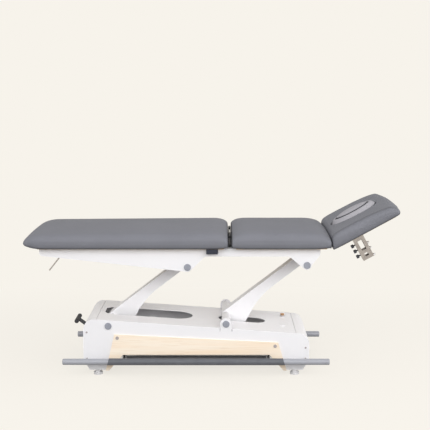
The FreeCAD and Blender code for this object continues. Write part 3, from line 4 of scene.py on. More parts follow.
import bpy
import numpy as np
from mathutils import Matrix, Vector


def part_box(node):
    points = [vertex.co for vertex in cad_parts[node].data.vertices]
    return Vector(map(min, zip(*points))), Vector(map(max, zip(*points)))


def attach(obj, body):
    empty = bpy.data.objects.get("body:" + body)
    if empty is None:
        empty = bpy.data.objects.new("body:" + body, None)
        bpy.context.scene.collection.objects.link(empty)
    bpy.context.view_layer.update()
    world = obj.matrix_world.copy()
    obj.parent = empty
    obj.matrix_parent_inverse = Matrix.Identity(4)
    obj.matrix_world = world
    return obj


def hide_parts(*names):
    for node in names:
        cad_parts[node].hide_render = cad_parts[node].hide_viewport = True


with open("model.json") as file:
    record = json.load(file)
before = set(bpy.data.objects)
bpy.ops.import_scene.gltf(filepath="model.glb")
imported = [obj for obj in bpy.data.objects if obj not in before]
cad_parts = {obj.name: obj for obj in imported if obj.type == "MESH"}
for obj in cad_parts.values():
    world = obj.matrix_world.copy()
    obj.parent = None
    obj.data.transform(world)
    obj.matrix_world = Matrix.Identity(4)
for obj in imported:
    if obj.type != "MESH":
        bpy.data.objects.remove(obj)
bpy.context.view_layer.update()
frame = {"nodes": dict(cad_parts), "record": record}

nodes = frame["nodes"]
joints = {joint["name"]: joint for joint in frame["record"]["behaviour"]["joints"]}
scene = bpy.context.scene
scene.view_settings.view_transform = "Standard"

MM = 0.001

# Camera, from the vanishing points of the photograph

CAMERA_PLACE = (57.5 * MM, -5516 * MM, 1608 * MM)
CAMERA_PITCH = math.radians(8.004)
CAMERA_LENS = 85.144
SENSOR_WIDTH = 36
PHOTO_PIXELS = 430
SHIFT_PIXELS = -7


def make_camera():
    data = bpy.data.cameras.new("studio_camera")
    data.sensor_width = SENSOR_WIDTH
    data.lens = CAMERA_LENS
    data.shift_x = SHIFT_PIXELS / PHOTO_PIXELS
    camera = bpy.data.objects.new("studio_camera", data)
    camera.location = CAMERA_PLACE
    camera.rotation_euler = (math.pi / 2 - CAMERA_PITCH, 0, 0)
    scene.collection.objects.link(camera)
    scene.camera = camera


make_camera()


# Shader helpers

def linear(red, green, blue):
    """Linear colour of a screen colour given from 0 to 255, by the usual screen curve."""
    shares = [value / 255 for value in (red, green, blue)]
    return tuple(s / 12.92 if s <= 0.04045 else ((s + 0.055) / 1.055) ** 2.4 for s in shares) + (1.0,)


def darker(colour, share):
    """Colour with this share of its light left."""
    return tuple(share * part for part in colour[:3]) + (1.0,)


def feed(tree, socket, value):
    """Gives a socket a plain value, or links it to another node's output."""
    if isinstance(value, bpy.types.NodeSocket):
        tree.links.new(value, socket)
    else:
        socket.default_value = value


def add(tree, kind, **settings):
    """New node of a kind, with its settings."""
    node = tree.nodes.new(kind)
    for key, value in settings.items():
        setattr(node, key, value)
    return node


def fill(tree, node, **inputs):
    """Feeds a node's inputs by name, with underscores for spaces."""
    for key, value in inputs.items():
        feed(tree, node.inputs[key.replace("_", " ")], value)
    return node


def new_group(name, inputs, outputs):
    """Shader node group with named sockets; returns its tree and its two end nodes."""
    tree = bpy.data.node_groups.new(name, "ShaderNodeTree")
    kinds = {"value": "NodeSocketFloat", "colour": "NodeSocketColor"}
    for way, sockets in (("INPUT", inputs), ("OUTPUT", outputs)):
        for label, kind in sockets.items():
            tree.interface.new_socket(name=label, in_out=way, socket_type=kinds[kind])
    return tree, tree.nodes.new("NodeGroupInput"), tree.nodes.new("NodeGroupOutput")


def object_place(tree):
    """Object coordinates."""
    return add(tree, "ShaderNodeTexCoord").outputs["Object"]


def noise(tree, scale, detail=3.0, stretch=(1, 1, 1)):
    """Noise on Object coordinates, stretched along the axes."""
    mapping = fill(tree, add(tree, "ShaderNodeMapping"), Vector=object_place(tree), Scale=stretch)
    texture = add(tree, "ShaderNodeTexNoise")
    return fill(tree, texture, Vector=mapping.outputs["Vector"], Scale=scale, Detail=detail).outputs["Fac"]


def remap(tree, value, low, high, start=0.3, end=0.7):
    """Value carried from the span start to end onto low to high, with its ends clamped."""
    node = add(tree, "ShaderNodeMapRange")
    fill(tree, node, Value=value, From_Min=start, From_Max=end, To_Min=low, To_Max=high)
    return node.outputs["Result"]


def math_node(tree, operation, first, second):
    """One operation on two values."""
    node = add(tree, "ShaderNodeMath", operation=operation)
    for socket, value in zip(node.inputs, (first, second)):
        feed(tree, socket, value)
    return node.outputs["Value"]


def mix_colours(tree, share, first, second):
    """Colour that goes from the first to the second by the share, through the mix node's colour sockets."""
    node = add(tree, "ShaderNodeMix", data_type="RGBA")
    for index, value in ((0, share), (6, first), (7, second)):
        feed(tree, node.inputs[index], value)
    return node.outputs[2]


# Shared effects

def make_tone_drift():
    """Broad drift of a colour: noise moves it between a darker and a lighter shade of itself."""
    tree, start, end = new_group("tone_drift", {"Colour": "colour", "Drift": "value", "Scale": "value"},
                                 {"Colour": "colour"})
    wave = remap(tree, noise(tree, start.outputs["Scale"]), low=-1.0, high=1.0)
    amount = math_node(tree, "MULTIPLY", wave, start.outputs["Drift"])
    shade = add(tree, "ShaderNodeHueSaturation")
    fill(tree, shade, Color=start.outputs["Colour"], Value=math_node(tree, "ADD", amount, 1.0))
    fill(tree, end, Colour=shade.outputs["Color"])
    return tree


def make_floor_dust():
    """Dust that settles low on the table: thickest at the floor, broken up by noise."""
    tree, start, end = new_group("floor_dust", {"Colour": "colour", "Dust": "colour", "Reach": "value",
                                                "Amount": "value"}, {"Colour": "colour"})
    split = fill(tree, add(tree, "ShaderNodeSeparateXYZ"), Vector=object_place(tree))
    height = remap(tree, split.outputs["Z"], low=1.0, high=0.0, start=0.0, end=start.outputs["Reach"])
    patches = remap(tree, noise(tree, scale=38.0, detail=5.0), low=0.2, high=1.0)
    settled = math_node(tree, "MULTIPLY", height, patches)
    mask = math_node(tree, "MULTIPLY", settled, start.outputs["Amount"])
    fill(tree, end, Colour=mix_colours(tree, mask, start.outputs["Colour"], start.outputs["Dust"]))
    return tree


def make_coat_peel():
    """Orange peel of a sprayed coat: a fine even ripple, and gloss that varies slowly."""
    tree, start, end = new_group("coat_peel", {"Scale": "value", "Low": "value", "High": "value"},
                                 {"Height": "value", "Roughness": "value"})
    ripple = noise(tree, start.outputs["Scale"], detail=2.0)
    gloss = remap(tree, noise(tree, scale=9.0, detail=4.0), start.outputs["Low"], start.outputs["High"])
    fill(tree, end, Height=ripple, Roughness=gloss)
    return tree


# Pebbles of a cover: their sizes against each other, how wide the creases are, the share of the finer ones
PEBBLE_RATIOS = (1.0, 2.3)
CREASE_EDGE_SHARE = 0.22
FINE_SHARE = 0.4


def make_hide_grain():
    """Pebbled cover: small rounded cells of two sizes with creases between them."""
    tree, start, end = new_group("hide_grain", {"Scale": "value"}, {"Height": "value", "Crease": "value"})
    place = object_place(tree)
    heights = []
    for ratio in PEBBLE_RATIOS:
        cells = add(tree, "ShaderNodeTexVoronoi", feature="DISTANCE_TO_EDGE")
        fill(tree, cells, Vector=place, Scale=math_node(tree, "MULTIPLY", start.outputs["Scale"], ratio))
        edge = cells.outputs["Distance"]
        heights.append(remap(tree, edge, low=0.0, high=1.0, start=0.0, end=CREASE_EDGE_SHARE))
    fine = math_node(tree, "MULTIPLY", heights[1], FINE_SHARE)
    both = math_node(tree, "MULTIPLY", heights[0], math_node(tree, "ADD", fine, 1 - FINE_SHARE))
    fill(tree, end, Height=both, Crease=math_node(tree, "SUBTRACT", 1.0, both))
    return tree


def make_brush_marks():
    """Fine drawn lines on bare metal: noise stretched far along X."""
    tree, start, end = new_group("brush_marks", {"Scale": "value", "Low": "value", "High": "value"},
                                 {"Height": "value", "Roughness": "value"})
    lines = noise(tree, start.outputs["Scale"], detail=6.0, stretch=(0.06, 1, 1))
    fill(tree, end, Height=lines, Roughness=remap(tree, lines, start.outputs["Low"], start.outputs["High"]))
    return tree


TONE_DRIFT = make_tone_drift()
FLOOR_DUST = make_floor_dust()
COAT_PEEL = make_coat_peel()
HIDE_GRAIN = make_hide_grain()
BRUSH_MARKS = make_brush_marks()


def use(tree, group, **inputs):
    """A shared effect placed in a material with its own values; returns its outputs."""
    return fill(tree, add(tree, "ShaderNodeGroup", node_tree=group), **inputs).outputs


def new_material(name):
    """New material, its tree and its shader."""
    material = bpy.data.materials.new(name)
    material.use_nodes = True
    tree = material.node_tree
    return material, tree, tree.nodes["Principled BSDF"]


def put_bump(tree, shader, height, strength, depth):
    """Gives a shader the relief of a height."""
    bump = fill(tree, add(tree, "ShaderNodeBump"), Height=height, Strength=strength, Distance=depth)
    fill(tree, shader, Normal=bump.outputs["Normal"])


def drifted(tree, colour, drift, scale):
    """Colour with its broad drift."""
    return use(tree, TONE_DRIFT, Colour=colour, Drift=drift, Scale=scale)["Colour"]


# Finishes

DUST_COLOUR = linear(176, 172, 164)
# How high dust reaches on coated metal and on plastic
COAT_DUST_REACH = 220 * MM
PLASTIC_DUST_REACH = 160 * MM
# Colour of the painted shade mixed in by each point's attribute, and the shares of colour left in the creases
# of a grain and a weave
PAINTED_SHADE_COLOUR = linear(52, 53, 58)
CREASE_SHARE = 0.35
WEAVE_SHARE = 0.4
# Depth of each finish's relief
PEEL_DEPTH = 0.6 * MM
GRAIN_DEPTH = 0.5 * MM
PORE_DEPTH = 0.4 * MM
PLY_DEPTH = 0.6 * MM
LINE_DEPTH = 0.3 * MM
SKIN_DEPTH = 0.4 * MM
WEAVE_DEPTH = 0.6 * MM


def sprayed_coat(name, colour, low, high, dust):
    """Powder coat: even colour with a slow drift, orange peel, and dust near the floor."""
    material, tree, shader = new_material(name)
    tone = drifted(tree, colour, drift=0.015, scale=3.0)
    dusted = use(tree, FLOOR_DUST, Colour=tone, Dust=DUST_COLOUR, Reach=COAT_DUST_REACH, Amount=dust)
    peel = use(tree, COAT_PEEL, Scale=420.0, Low=low, High=high)
    fill(tree, shader, Base_Color=dusted["Colour"], Roughness=peel["Roughness"])
    put_bump(tree, shader, peel["Height"], strength=0.06, depth=PEEL_DEPTH)
    return material


def upholstery(name, colour, crease):
    """Coated upholstery cover: pebbled grain, creases a little darker and rougher, and painted shade where
    its attribute says.
    """
    material, tree, shader = new_material(name)
    grain = use(tree, HIDE_GRAIN, Scale=520.0)
    creased = math_node(tree, "MULTIPLY", grain["Crease"], crease)
    tone = drifted(tree, colour, drift=0.04, scale=4.5)
    shaded = mix_colours(tree, creased, tone, darker(colour, CREASE_SHARE))
    # Painted shade: each point's attribute darkens the cover towards a near-black grey
    painted_shade = add(tree, "ShaderNodeAttribute", attribute_name="painted_shade")
    with_painted_shade = mix_colours(tree, painted_shade.outputs["Fac"], shaded, PAINTED_SHADE_COLOUR)
    gloss = remap(tree, grain["Height"], low=0.72, high=0.6, start=0.0, end=1.0)
    fill(tree, shader, Base_Color=with_painted_shade, Roughness=gloss, Specular_IOR_Level=0.16)
    put_bump(tree, shader, grain["Height"], strength=0.22, depth=GRAIN_DEPTH)
    return material


def birch(name):
    """Pale birch: long wavering grain along X, fine pores and a satin lacquer."""
    material, tree, shader = new_material(name)
    bands = remap(tree, noise(tree, scale=26.0, detail=5.0, stretch=(0.07, 1, 1)), low=0.0, high=1.0,
                  start=0.32, end=0.68)
    pores = remap(tree, noise(tree, scale=300.0, detail=2.0, stretch=(0.03, 1, 1)), low=0.0, high=1.0,
                  start=0.56, end=0.72)
    wood = mix_colours(tree, bands, linear(252, 230, 203), linear(255, 242, 224))
    wood = mix_colours(tree, math_node(tree, "MULTIPLY", pores, 0.35), wood, linear(224, 196, 160))
    gloss = remap(tree, pores, low=0.36, high=0.52, start=0.0, end=1.0)
    fill(tree, shader, Base_Color=wood, Roughness=gloss, Coat_Weight=0.12)
    put_bump(tree, shader, pores, strength=0.08, depth=PORE_DEPTH)
    return material


def plywood(name):
    """Raw sheathing ply: broad figure and fine grain along X."""
    material, tree, shader = new_material(name)
    figure = remap(tree, noise(tree, scale=14.0, detail=6.0, stretch=(0.16, 1, 1)), low=0.0, high=1.0)
    wood = mix_colours(tree, figure, linear(176, 146, 106), linear(204, 176, 136))
    grain = noise(tree, scale=240.0, detail=3.0, stretch=(0.08, 1, 1))
    fill(tree, shader, Base_Color=wood, Roughness=remap(tree, grain, low=0.62, high=0.85))
    put_bump(tree, shader, grain, strength=0.15, depth=PLY_DEPTH)
    return material


def plated_metal(name, colour, low, high, drift):
    """Plated metal with drawn lines, and a tone that drifts in patches."""
    material, tree, shader = new_material(name)
    marks = use(tree, BRUSH_MARKS, Scale=180.0, Low=low, High=high)
    tone = drifted(tree, colour, drift=drift, scale=40.0)
    fill(tree, shader, Base_Color=tone, Metallic=1.0, Roughness=marks["Roughness"])
    put_bump(tree, shader, marks["Height"], strength=0.05, depth=LINE_DEPTH)
    return material


def moulded(name, colour, low, high, grain):
    """Moulded plastic, rubber or dull zinc: fine texture, uneven gloss and a little dust near the floor."""
    material, tree, shader = new_material(name)
    tone = drifted(tree, colour, drift=0.08, scale=30.0)
    dusted = use(tree, FLOOR_DUST, Colour=tone, Dust=DUST_COLOUR, Reach=PLASTIC_DUST_REACH, Amount=0.1)
    skin = use(tree, COAT_PEEL, Scale=grain, Low=low, High=high)
    fill(tree, shader, Base_Color=dusted["Colour"], Roughness=skin["Roughness"])
    put_bump(tree, shader, skin["Height"], strength=0.18, depth=SKIN_DEPTH)
    return material


def woven_tape(name, colour):
    """Woven tape: two crossed sets of ribs, of which the higher one shows."""
    material, tree, shader = new_material(name)
    place = object_place(tree)
    ribs = []
    for axis in ("X", "Z"):
        wave = add(tree, "ShaderNodeTexWave", wave_type="BANDS", bands_direction=axis)
        ribs.append(fill(tree, wave, Vector=place, Scale=260.0, Distortion=0.6, Detail=1.0).outputs["Fac"])
    weave = math_node(tree, "MAXIMUM", ribs[0], math_node(tree, "MULTIPLY", ribs[1], 0.8))
    shade = mix_colours(tree, weave, darker(colour, WEAVE_SHARE), colour)
    gloss = remap(tree, weave, low=0.9, high=0.72, start=0.0, end=1.0)
    fill(tree, shader, Base_Color=shade, Roughness=gloss)
    put_bump(tree, shader, weave, strength=0.5, depth=WEAVE_DEPTH)
    return material


FINISHES = {
    "white_paint": sprayed_coat("white_paint", linear(241, 240, 242), low=0.3, high=0.42, dust=0.12),
    # Lighter copy of the white paint: painted light for the base cover shaded under the pads
    "cover_paint": sprayed_coat("cover_paint", linear(249, 248, 250), low=0.3, high=0.42, dust=0.12),
    "black_metal": sprayed_coat("black_metal", linear(52, 53, 58), low=0.3, high=0.42, dust=0.1),
    "bar_metal": sprayed_coat("bar_metal", linear(164, 166, 174), low=0.32, high=0.45, dust=0.1),
    "birch": birch("birch"),
    "plywood": plywood("plywood"),
    "grey_cover": upholstery("grey_cover", linear(131, 132, 139), crease=0.3),
    "pale_cover": upholstery("pale_cover", linear(178, 176, 181), crease=0.2),
    "steel": plated_metal("bright_steel", linear(206, 206, 209), low=0.2, high=0.38, drift=0.06),
    "brass_key": plated_metal("brass_key", linear(186, 150, 118), low=0.25, high=0.4, drift=0.06),
    "dull_nickel": plated_metal("dull_nickel", linear(174, 168, 164), low=0.18, high=0.4, drift=0.16),
    "grey_plastic": moulded("grey_plastic", linear(150, 153, 163), low=0.4, high=0.55, grain=900.0),
    "black_plastic": moulded("black_plastic", linear(70, 72, 80), low=0.4, high=0.55, grain=900.0),
    "black_rubber": moulded("black_rubber", linear(48, 48, 51), low=0.6, high=0.8, grain=700.0),
    "dark_sleeve": moulded("dark_sleeve", linear(92, 95, 102), low=0.5, high=0.65, grain=800.0),
    "foot_plastic": moulded("foot_plastic", linear(236, 235, 236), low=0.4, high=0.55, grain=800.0),
    "screw_zinc": moulded("screw_zinc", linear(172, 165, 164), low=0.35, high=0.5, grain=1200.0),
    "dark_fabric": woven_tape("dark_fabric", linear(52, 56, 70)),
}

# Pieces whose finish differs a little from the rest of their slot
OWN_FINISHES = {
    # The base cover and its ends take the lighter copy of the white paint, as painted light
    "base_cover": "cover_paint",
    "base_end_foot": "cover_paint",
    "base_end_head": "cover_paint",
    "base_screws": "screw_zinc",
    # The rockers are black as painted shade: the dark band inside the cut-out over the foot bar
    "bar_rocker_near": "black_metal",
    "bar_rocker_far": "black_metal",
    "bracket_bolts": "steel",
}

for entry in frame["record"]["subparts"]:
    mesh = nodes[entry["node"]].data
    mesh.materials.clear()
    mesh.materials.append(FINISHES[OWN_FINISHES.get(entry["node"], entry["material_slot"])])


# Mesh helpers

def finish_smooth(mesh):
    """Shades every face smooth."""
    mesh.polygons.foreach_set("use_smooth", np.ones(len(mesh.polygons), bool))
    mesh.update()


def new_piece(name, points, faces, finish):
    """Smooth piece at the origin from arrays of points and faces."""
    mesh = bpy.data.meshes.new(name)
    mesh.from_pydata(np.asarray(points, float).tolist(), [], faces)
    mesh.materials.append(FINISHES[finish])
    finish_smooth(mesh)
    piece = bpy.data.objects.new(name, mesh)
    scene.collection.objects.link(piece)
    return piece


def grid_faces(rows, columns, closed_rows=False):
    """Quads of a grid of points, row by row; each row closes on itself, and the rows may too."""
    row = np.arange(rows if closed_rows else rows - 1)[:, None]
    column = np.arange(columns)[None, :]
    next_row = (row + 1) % rows
    next_column = (column + 1) % columns
    corners = [row * columns + column, row * columns + next_column,
               next_row * columns + next_column, next_row * columns + column]
    return np.stack(np.broadcast_arrays(*corners), axis=-1).reshape(-1, 4).tolist()


def through(first, middle, last, steps):
    """Curve through three points: a parabola in its parameter, without its last point."""
    t = np.arange(steps)[None, :, None] / steps
    first, middle, last = (np.asarray(point)[:, None, :] for point in (first, middle, last))
    return (1 - t) * (1 - 2 * t) * first + 4 * t * (1 - t) * middle + t * (2 * t - 1) * last


def fading(distance, reach):
    """1 at no distance, falling in a straight line to 0 at the reach."""
    return np.clip(1 - distance / reach, 0, 1)


# Upholstery forms, with sections like those of the solids

PAD_BAND = 66 * MM
PAD_CROWN = 28 * MM
PAD_DRAW = 16 * MM
PAD_SHOULDER = 60 * MM
SIDE_SHARE = 0.5
SHOULDER_SHARE = 0.55
# Points that the lower and upper side arcs pass through, as shares of the arc's width and height
LOWER_ARC_SHARES = (0.2, 0.42)
UPPER_ARC_SHARES = (0.2, 0.7)
# Points along the flat, the lower arc and the upper arc of a section, and rings of an end and between ends
FLAT_STEPS = 40
LOWER_STEPS = 6
UPPER_STEPS = 12
END_STEPS = 10
MIDDLE_STEPS = 24


def section_rings(half, low, high, band, crown, shoulder_width):
    """Rings of a pad, across and up: flat bottom, side arcs that swell and turn in, and a crown arc.

    half, low and high give each ring's half width and its lowest and highest point.
    """
    half, low, high = (np.asarray(values, float) for values in (half, low, high))
    scale = (high - low) / (band + crown)

    def spot(across, up):
        return np.stack([across + 0 * half, low + up * scale], axis=-1)

    side = band * SIDE_SHARE
    rim = band + crown * SHOULDER_SHARE
    low_end = spot(half - PAD_DRAW, 0)
    low_via = spot(half - PAD_DRAW * LOWER_ARC_SHARES[0], side * LOWER_ARC_SHARES[1])
    widest = spot(half, side)
    high_via = spot(half - shoulder_width * UPPER_ARC_SHARES[0], side + (rim - side) * UPPER_ARC_SHARES[1])
    shoulder = spot(half - shoulder_width, rim)
    middle = spot(0 * half, band + crown)
    flip = np.array([-1, 1])
    runs = [through(low_end * flip, (low_end + low_end * flip) / 2, low_end, FLAT_STEPS),
            through(low_end, low_via, widest, LOWER_STEPS),
            through(widest, high_via, shoulder, UPPER_STEPS),
            through(shoulder, middle, shoulder * flip, FLAT_STEPS),
            through(shoulder * flip, high_via * flip, widest * flip, UPPER_STEPS),
            through(widest * flip, low_via * flip, low_end * flip, LOWER_STEPS)]
    return np.concatenate(runs, axis=1)


def closed_tube(rings):
    """Points and faces of rings joined in order, with both ends closed."""
    rows, columns = rings.shape[:2]
    faces = grid_faces(rows, columns)
    faces.append(list(range(columns))[::-1])
    faces.append(list(range((rows - 1) * columns, rows * columns)))
    return rings.reshape(-1, 3), [face[::-1] for face in faces]


def end_shares(count):
    """Places along a rounded end, closer together at the tip, and how far each has filled out."""
    share = 1 - np.cos(np.linspace(0, math.pi / 2, count))
    return share, np.sqrt(1 - (1 - share) ** 2)


# Level pads

PAD_HALF = 325 * MM
# Each end: its run, its corner, its low and high tip, and how far the stuffing bulges beyond the bare foam
FOOT_END = (96 * MM, 42 * MM, 22 * MM, 36 * MM, 6 * MM)
JOINT_END = (80 * MM, 10 * MM, 6 * MM, 62 * MM, 0)
NECK_END = (112 * MM, 10 * MM, 6 * MM, 50 * MM, 0)
LEG_TAPER = 10 * MM
# The cushion's underside lies this far above its solid's, clear of the board
TUCK = 1.2 * MM
# Stuffing: size of the remeshed cells, the most that a point may move, and where the cover is held
LEVEL_VOXEL = 6.5 * MM
LEVEL_SWELL = 4 * MM
HEAD_VOXEL = 5 * MM
HEAD_SWELL = 3 * MM
HOLD_HEIGHT = 14 * MM
HOLD_RUN = 24 * MM
PRESSURE = 3.0
LEAST_MOVE = 1e-6 * MM
STUFFING_FRAMES = 20
# Painted shade: how far it reaches up from the underside and in from a joined end, and how dark the lower
# edge is
UNDER_SHADE_REACH = 13 * MM
END_SHADE_REACH = 6 * MM
UNDER_SHADE_SHARE = 0.75


def level_pad_rings(node, ends, taper):
    """Rings of a level pad between its two rounded ends, with a top that falls slowly towards the foot.

    Each end fills out from its tip to the end of its run as a quarter ellipse.
    """
    lowest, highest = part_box(node)
    full = PAD_BAND + PAD_CROWN
    share, filled = end_shares(END_STEPS)
    stations = []
    for tip, way, (run, corner, low, high, bulge) in ((lowest[0], 1, ends[0]), (highest[0], -1, ends[1])):
        x = tip - way * bulge + way * (run + bulge) * share
        tall = full - taper * (highest[0] - x) / (highest[0] - lowest[0])
        rows = np.stack([x, PAD_HALF - corner * (1 - filled), TUCK + low * (1 - filled),
                         high + (tall - high) * filled], axis=-1)
        stations.append(rows if way == 1 else rows[::-1])
    middle = np.linspace(stations[0][-1], stations[1][0], MIDDLE_STEPS)[1:-1]
    x, half, low, high = np.concatenate([stations[0], middle, stations[1]]).T
    flat = section_rings(half, low, high, PAD_BAND, PAD_CROWN, PAD_SHOULDER)
    along = np.broadcast_to(x[:, None], flat.shape[:2])
    return np.stack([along, flat[..., 0], lowest[2] + flat[..., 1]], axis=-1)


# Stuffing by cloth simulation

def evaluated_points(piece):
    """Points of a piece with its modifiers at work."""
    graph = bpy.context.evaluated_depsgraph_get()
    mesh = piece.evaluated_get(graph).to_mesh()
    points = np.empty(len(mesh.vertices) * 3)
    mesh.vertices.foreach_get("co", points)
    piece.evaluated_get(graph).to_mesh_clear()
    return points.reshape(-1, 3)


def remeshed(piece, voxel):
    """Replaces the piece's mesh by its voxel remesh."""
    modifier = piece.modifiers.new("voxels", "REMESH")
    modifier.mode = "VOXEL"
    modifier.voxel_size = voxel
    graph = bpy.context.evaluated_depsgraph_get()
    mesh = bpy.data.meshes.new_from_object(piece.evaluated_get(graph))
    piece.modifiers.clear()
    piece.data = mesh


def stuffed(piece, voxel, cap, held):
    """Swells a remeshed pad under pressure, with each point's movement capped and its held side kept flat.

    held gives, from the points, 0 where the pad lies on its board and 1 where it is free.
    """
    remeshed(piece, voxel)
    finish_smooth(piece.data)
    start = evaluated_points(piece)
    cloth = piece.modifiers.new("stuffing", "CLOTH")
    cloth.settings.quality = 4
    cloth.settings.mass = 0.4
    cloth.settings.tension_stiffness = 18
    cloth.settings.compression_stiffness = 18
    cloth.settings.bending_stiffness = 4
    cloth.settings.use_pressure = True
    cloth.settings.uniform_pressure_force = PRESSURE
    cloth.settings.effector_weights.gravity = 0
    for step in range(STUFFING_FRAMES):
        scene.frame_set(step + 1)
    moved = evaluated_points(piece) - start
    piece.modifiers.clear()
    scene.frame_set(1)
    length = np.linalg.norm(moved, axis=1, keepdims=True)
    moved *= np.minimum(1.0, cap / np.maximum(length, LEAST_MOVE)) * held(start)[:, None]
    piece.data.vertices.foreach_set("co", (start + moved).ravel())
    piece.data.update()


def round_off(piece):
    """One level of subdivision, the same in the view and in a render."""
    modifier = piece.modifiers.new("round_off", "SUBSURF")
    modifier.levels = 1
    modifier.render_levels = 1


def paint_shade(piece, shade_shares):
    """Keeps, point by point, how much painted shade the cover gets; the finish is darker there."""
    attribute = piece.data.attributes.new("painted_shade", "FLOAT", "POINT")
    attribute.data.foreach_set("value", np.asarray(shade_shares, np.float32).ravel())


def points_of(piece):
    """Points of a piece's own mesh."""
    spots = np.empty(len(piece.data.vertices) * 3)
    piece.data.vertices.foreach_get("co", spots)
    return spots.reshape(-1, 3)


def upholster(piece, body, node):
    """Puts a cushion on its body in place of its solid pad."""
    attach(piece, body)
    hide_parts(node)


def level_pad(name, body, ends, taper):
    """Stuffed level cushion; its ends and underside hold their place, and painted shade darkens its lower
    edge and its joined ends.
    """
    node = name + "_pad"
    lowest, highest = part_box(node)

    def held(spots):
        from_end = np.minimum(spots[:, 0] - lowest[0], highest[0] - spots[:, 0])
        return (1 - fading(spots[:, 2] - lowest[2], HOLD_HEIGHT)) * (1 - fading(from_end, HOLD_RUN))

    points, faces = closed_tube(level_pad_rings(node, ends, taper))
    cushion = new_piece(name + "_cushion", points, faces, "grey_cover")
    stuffed(cushion, LEVEL_VOXEL, LEVEL_SWELL, held)
    spots = points_of(cushion)
    # Painted shade along the underside and at the ends that meet another pad
    edge_shade = UNDER_SHADE_SHARE * fading(spots[:, 2] - lowest[2], UNDER_SHADE_REACH)
    for tip, end in ((lowest[0], ends[0]), (highest[0], ends[1])):
        if end is not FOOT_END:
            edge_shade = np.maximum(edge_shade, fading(np.abs(spots[:, 0] - tip), END_SHADE_REACH))
    paint_shade(cushion, edge_shade)
    round_off(cushion)
    upholster(cushion, body, node)


level_pad("leg", "leg_section", (FOOT_END, JOINT_END), LEG_TAPER)
level_pad("mid", "top_frame", (JOINT_END, NECK_END), 0)


# Head section: tilted about its hinge

HEAD_HINGE = tuple(joints["head_rest"]["pos_m"][axis] for axis in (0, 2))
HEAD_TILT = math.radians(28.8)
HEAD_START = 4 * MM
HEAD_LENGTH = 397 * MM
HEAD_HEIGHT = 77 * MM
HEAD_CORNER = 26 * MM
HEAD_DISH = 6 * MM
HEAD_SHOULDER = 32 * MM
HEAD_RISE = 2 * MM
HEAD_STEPS = 40
# The outer end bows out in the middle of its width, from this share of the length on
HEAD_BOW = 18 * MM
BOW_START_SHARE = 0.6
# Place along the pad, top height, drawn-in width and lean of each section, as shares
HEAD_SHARES = ((0.0, 0.84, 0.62, 0.7), (0.015, 0.92, 0.35, 0.7), (0.06, 0.98, 0.1, 0.7),
               (0.16, 1.0, 0.0, 0.5), (0.3, 1.0, 0.0, 0.2), (0.55, 0.98, 0.0, 0.0),
               (0.74, 0.92, 0.0, 0.0), (0.86, 0.84, 0.03, 0.0), (0.93, 0.75, 0.1, 0.0),
               (0.965, 0.61, 0.26, 0.0))
# The lip beyond them: place, low and high edge, drawn-in width
LIP_SHARES = ((0.975, 0.0, 0.4, 0.46), (0.99, 0.04, 0.37, 0.56), (1.0, 0.12, 0.3, 0.8))
# Painted shade of a crease behind the roll along each side: how far in it lies, how wide and how dark it is
CREASE_SHADE_INSET = 34 * MM
CREASE_SHADE_WIDTH = 15 * MM
CREASE_SHADE_SHARE = 0.32


def tilt_up(points):
    """Turns points given along, across and square to the head section's board into the table's space."""
    u, y, v = np.moveaxis(np.asarray(points), -1, 0)
    return np.stack([HEAD_HINGE[0] + u * math.cos(HEAD_TILT) - v * math.sin(HEAD_TILT), y,
                     HEAD_HINGE[1] + u * math.sin(HEAD_TILT) + v * math.cos(HEAD_TILT)], axis=-1)


def lay_flat(points):
    """Undoes tilt_up."""
    x, y, z = np.moveaxis(np.asarray(points), -1, 0)
    x, z = x - HEAD_HINGE[0], z - HEAD_HINGE[1]
    return np.stack([x * math.cos(HEAD_TILT) + z * math.sin(HEAD_TILT), y,
                     z * math.cos(HEAD_TILT) - x * math.sin(HEAD_TILT)], axis=-1)


def finer(shares, places):
    """Rows of shares at finer places along the pad, by cubic curves that never overshoot the given rows.

    A slope at a row is the harmonic mean of the slopes on both sides, or level where they change sign.
    """
    table = np.array(shares)
    x = table[:, 0]
    step = np.diff(x)[:, None]
    rise = np.diff(table, axis=0) / step
    before, after = rise[:-1], rise[1:]
    level = before * after <= 0
    inner = np.where(level, 0.0, 2 * before * after / np.where(level, 1.0, before + after))
    slope = np.concatenate([rise[:1], inner, rise[-1:]])
    spot = np.clip(np.searchsorted(x, places, side="right") - 1, 0, len(x) - 2)
    width = step[spot]
    t = (places[:, None] - x[spot][:, None]) / width
    share = t ** 2 * (3 - 2 * t)
    blend = (1 - share) * table[spot] + share * table[spot + 1]
    return blend + width * (slope[spot] * t * (1 - t) ** 2 - slope[spot + 1] * t ** 2 * (1 - t))


